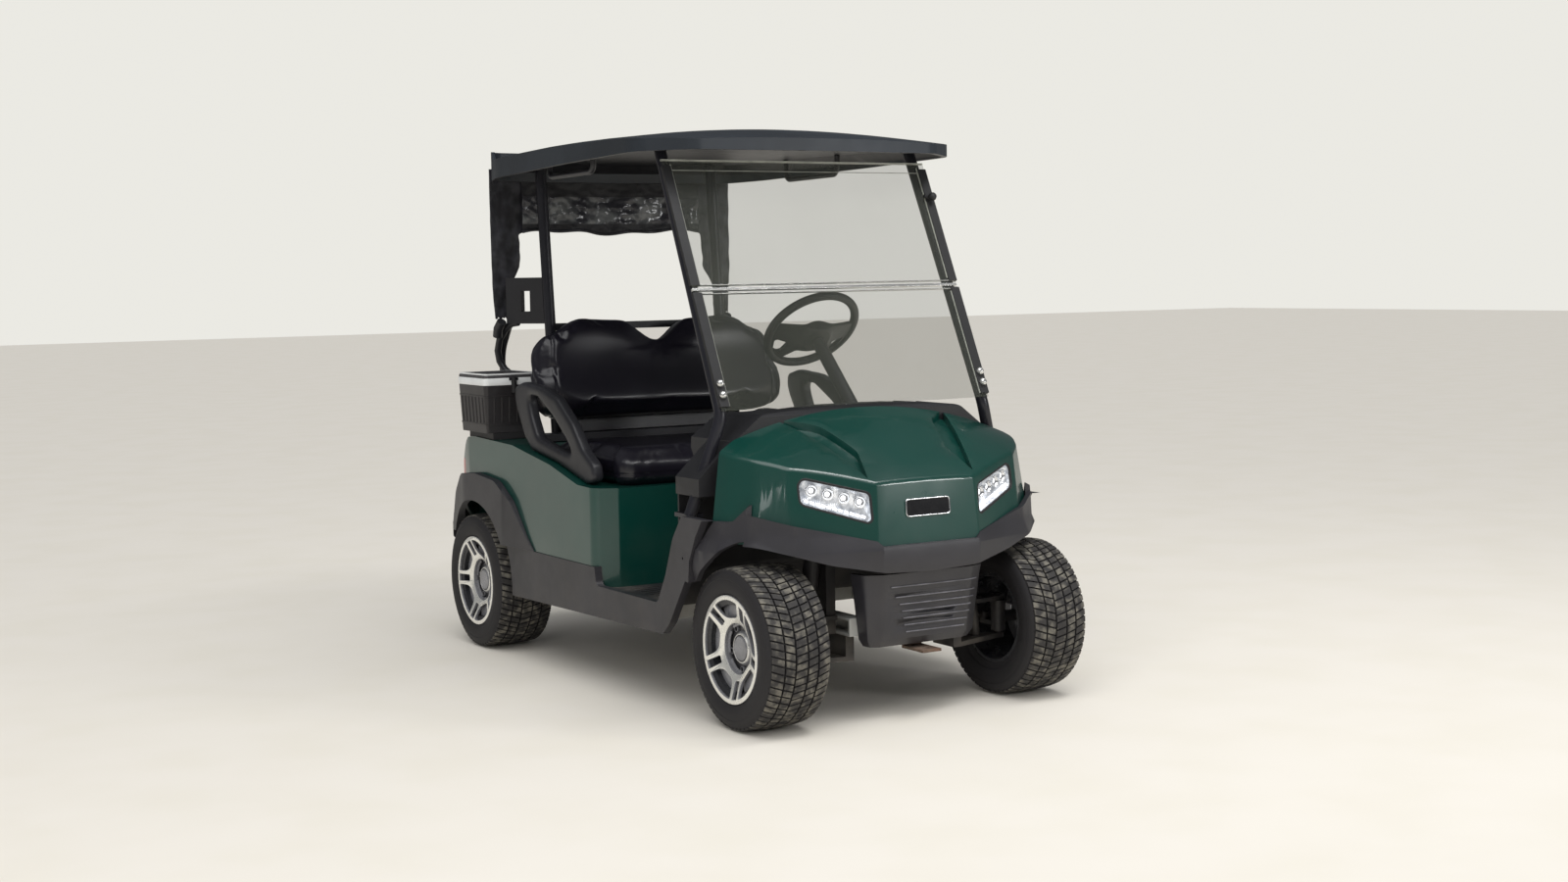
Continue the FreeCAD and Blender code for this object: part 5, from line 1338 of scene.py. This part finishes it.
# Cooler
# A ribbed grey drinks cooler in a steel bracket behind the right armrest. A white band runs
# round its rim, under a lid with an inset panel, and a black latch holds the lid.
cooler_grey = plain_finish("cooler_grey", (0.020, 0.018, 0.019), 0.40, dust=0.04)
cooler_white = plain_finish("cooler_white", (0.72, 0.73, 0.72), 0.35, cloud=(14.0, 0.05), dust=0.0)
lid_grey = plain_finish("lid_grey", (0.045, 0.042, 0.044), 0.45, cloud=(25.0, 0.25), dust=0.0)
eased("cooler_bracket", gear_steel, 0.001)
eased("cooler_body", cooler_grey, 0.005)
eased("cooler_lid", lid_grey, 0.004, "cooler_lid")
cooler_low, cooler_high = (Vector(corner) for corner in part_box("cooler_body"))
lid_low, lid_high = (Vector(corner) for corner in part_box("cooler_lid"))


def box_loop(low, high, level, grow, radius, steps=5):
    """Points round a box's plan at one height, grown outward, with round corners."""
    points = []
    corners = ((high.x, high.y, 0), (low.x, high.y, 1), (low.x, low.y, 2), (high.x, low.y, 3))
    for x, y, start in corners:
        out_x = 1.0 if x == high.x else -1.0
        out_y = 1.0 if y == high.y else -1.0
        centre = (x - out_x * radius, y - out_y * radius)
        for k in range(steps + 1):
            turn = math.pi / 2 * (start + k / steps)
            points.append(Vector((centre[0] + (radius + grow) * math.cos(turn),
                                  centre[1] + (radius + grow) * math.sin(turn), level)))
    return points


def band_round(mesh, low, high, rows, radius):
    """A closed band round a box; rows are (height, how far it stands out), first and last inside."""
    loops = [[mesh.verts.new(p) for p in box_loop(low, high, level, grow, radius)] for level, grow in rows]
    for first, second in zip(loops, loops[1:] + loops[:1]):
        count = len(first)
        for k in range(count):
            mesh.faces.new((first[k], first[(k + 1) % count], second[(k + 1) % count], second[k]))
    bmesh.ops.recalc_face_normals(mesh, faces=mesh.faces)


cooler_corner = 0.016
rim_z = lid_low.z + 0.0175
band_mesh = bmesh.new()
band_rows = ((-0.012, -0.003), (-0.012, 0.0012), (-0.010, 0.0022), (0.010, 0.0022), (0.012, 0.0012),
             (0.012, -0.003))
band_round(band_mesh, lid_low, lid_high, [(rim_z + up, out) for up, out in band_rows], cooler_corner)
smooth_by_angle(finished("cooler_rim_band", band_mesh, cooler_white, "cooler_lid").data, 30.0)
ledge_mesh = bmesh.new()
ledge_rows = ((-0.004, -0.003), (0.0003, -0.003), (0.0003, -0.012), (-0.004, -0.012))
band_round(ledge_mesh, lid_low, lid_high, [(lid_high.z + up, out) for up, out in ledge_rows], cooler_corner)
smooth_by_angle(finished("cooler_lid_edge", ledge_mesh, cooler_white, "cooler_lid").data, 30.0)

ridge_rows = ((-0.003, -0.003), (-0.002, 0.002), (0.002, 0.002), (0.003, -0.003))
ridge_mesh = bmesh.new()
for level in (cooler_low.z + 0.030, cooler_low.z + 0.125):
    shrink = -0.009 * (1.0 - (level - cooler_low.z) / (cooler_high.z - cooler_low.z))
    rows = [(level + up, shrink + out) for up, out in ridge_rows]
    band_round(ridge_mesh, cooler_low, cooler_high, rows, cooler_corner)
for k in range(7):
    y = cooler_low.y + 0.030 + k * 0.0293
    tube_along(ridge_mesh, [(cooler_low.x + 0.0068, y, cooler_low.z + 0.034),
                            (cooler_low.x + 0.0022, y, cooler_low.z + 0.120)], 0.0028, 8)
for k in range(6):
    x = cooler_low.x + 0.034 + k * 0.028
    tube_along(ridge_mesh, [(x, cooler_low.y + 0.0068, cooler_low.z + 0.034),
                            (x, cooler_low.y + 0.0022, cooler_low.z + 0.120)], 0.0028, 8)
bmesh.ops.recalc_face_normals(ridge_mesh, faces=ridge_mesh.faces)
smooth_by_angle(finished("cooler_ridges", ridge_mesh, cooler_grey, "cart").data, 40.0)

latch_mesh = bmesh.new()
latch_x = (cooler_low.x + cooler_high.x) / 2
latch_y = lid_low.y - 0.004
tube_along(latch_mesh, [(latch_x, latch_y, lid_low.z + 0.030), (latch_x, latch_y - 0.003, lid_low.z + 0.010),
                        (latch_x, latch_y, lid_low.z - 0.020)], 0.009, 12)
tube_along(latch_mesh, [(latch_x - 0.016, latch_y + 0.002, lid_low.z + 0.026),
                        (latch_x + 0.016, latch_y + 0.002, lid_low.z + 0.026)], 0.005, 10)
bmesh.ops.recalc_face_normals(latch_mesh, faces=latch_mesh.faces)
smooth_by_angle(finished("cooler_latch", latch_mesh, gasket_rubber, "cooler_lid").data, 40.0)
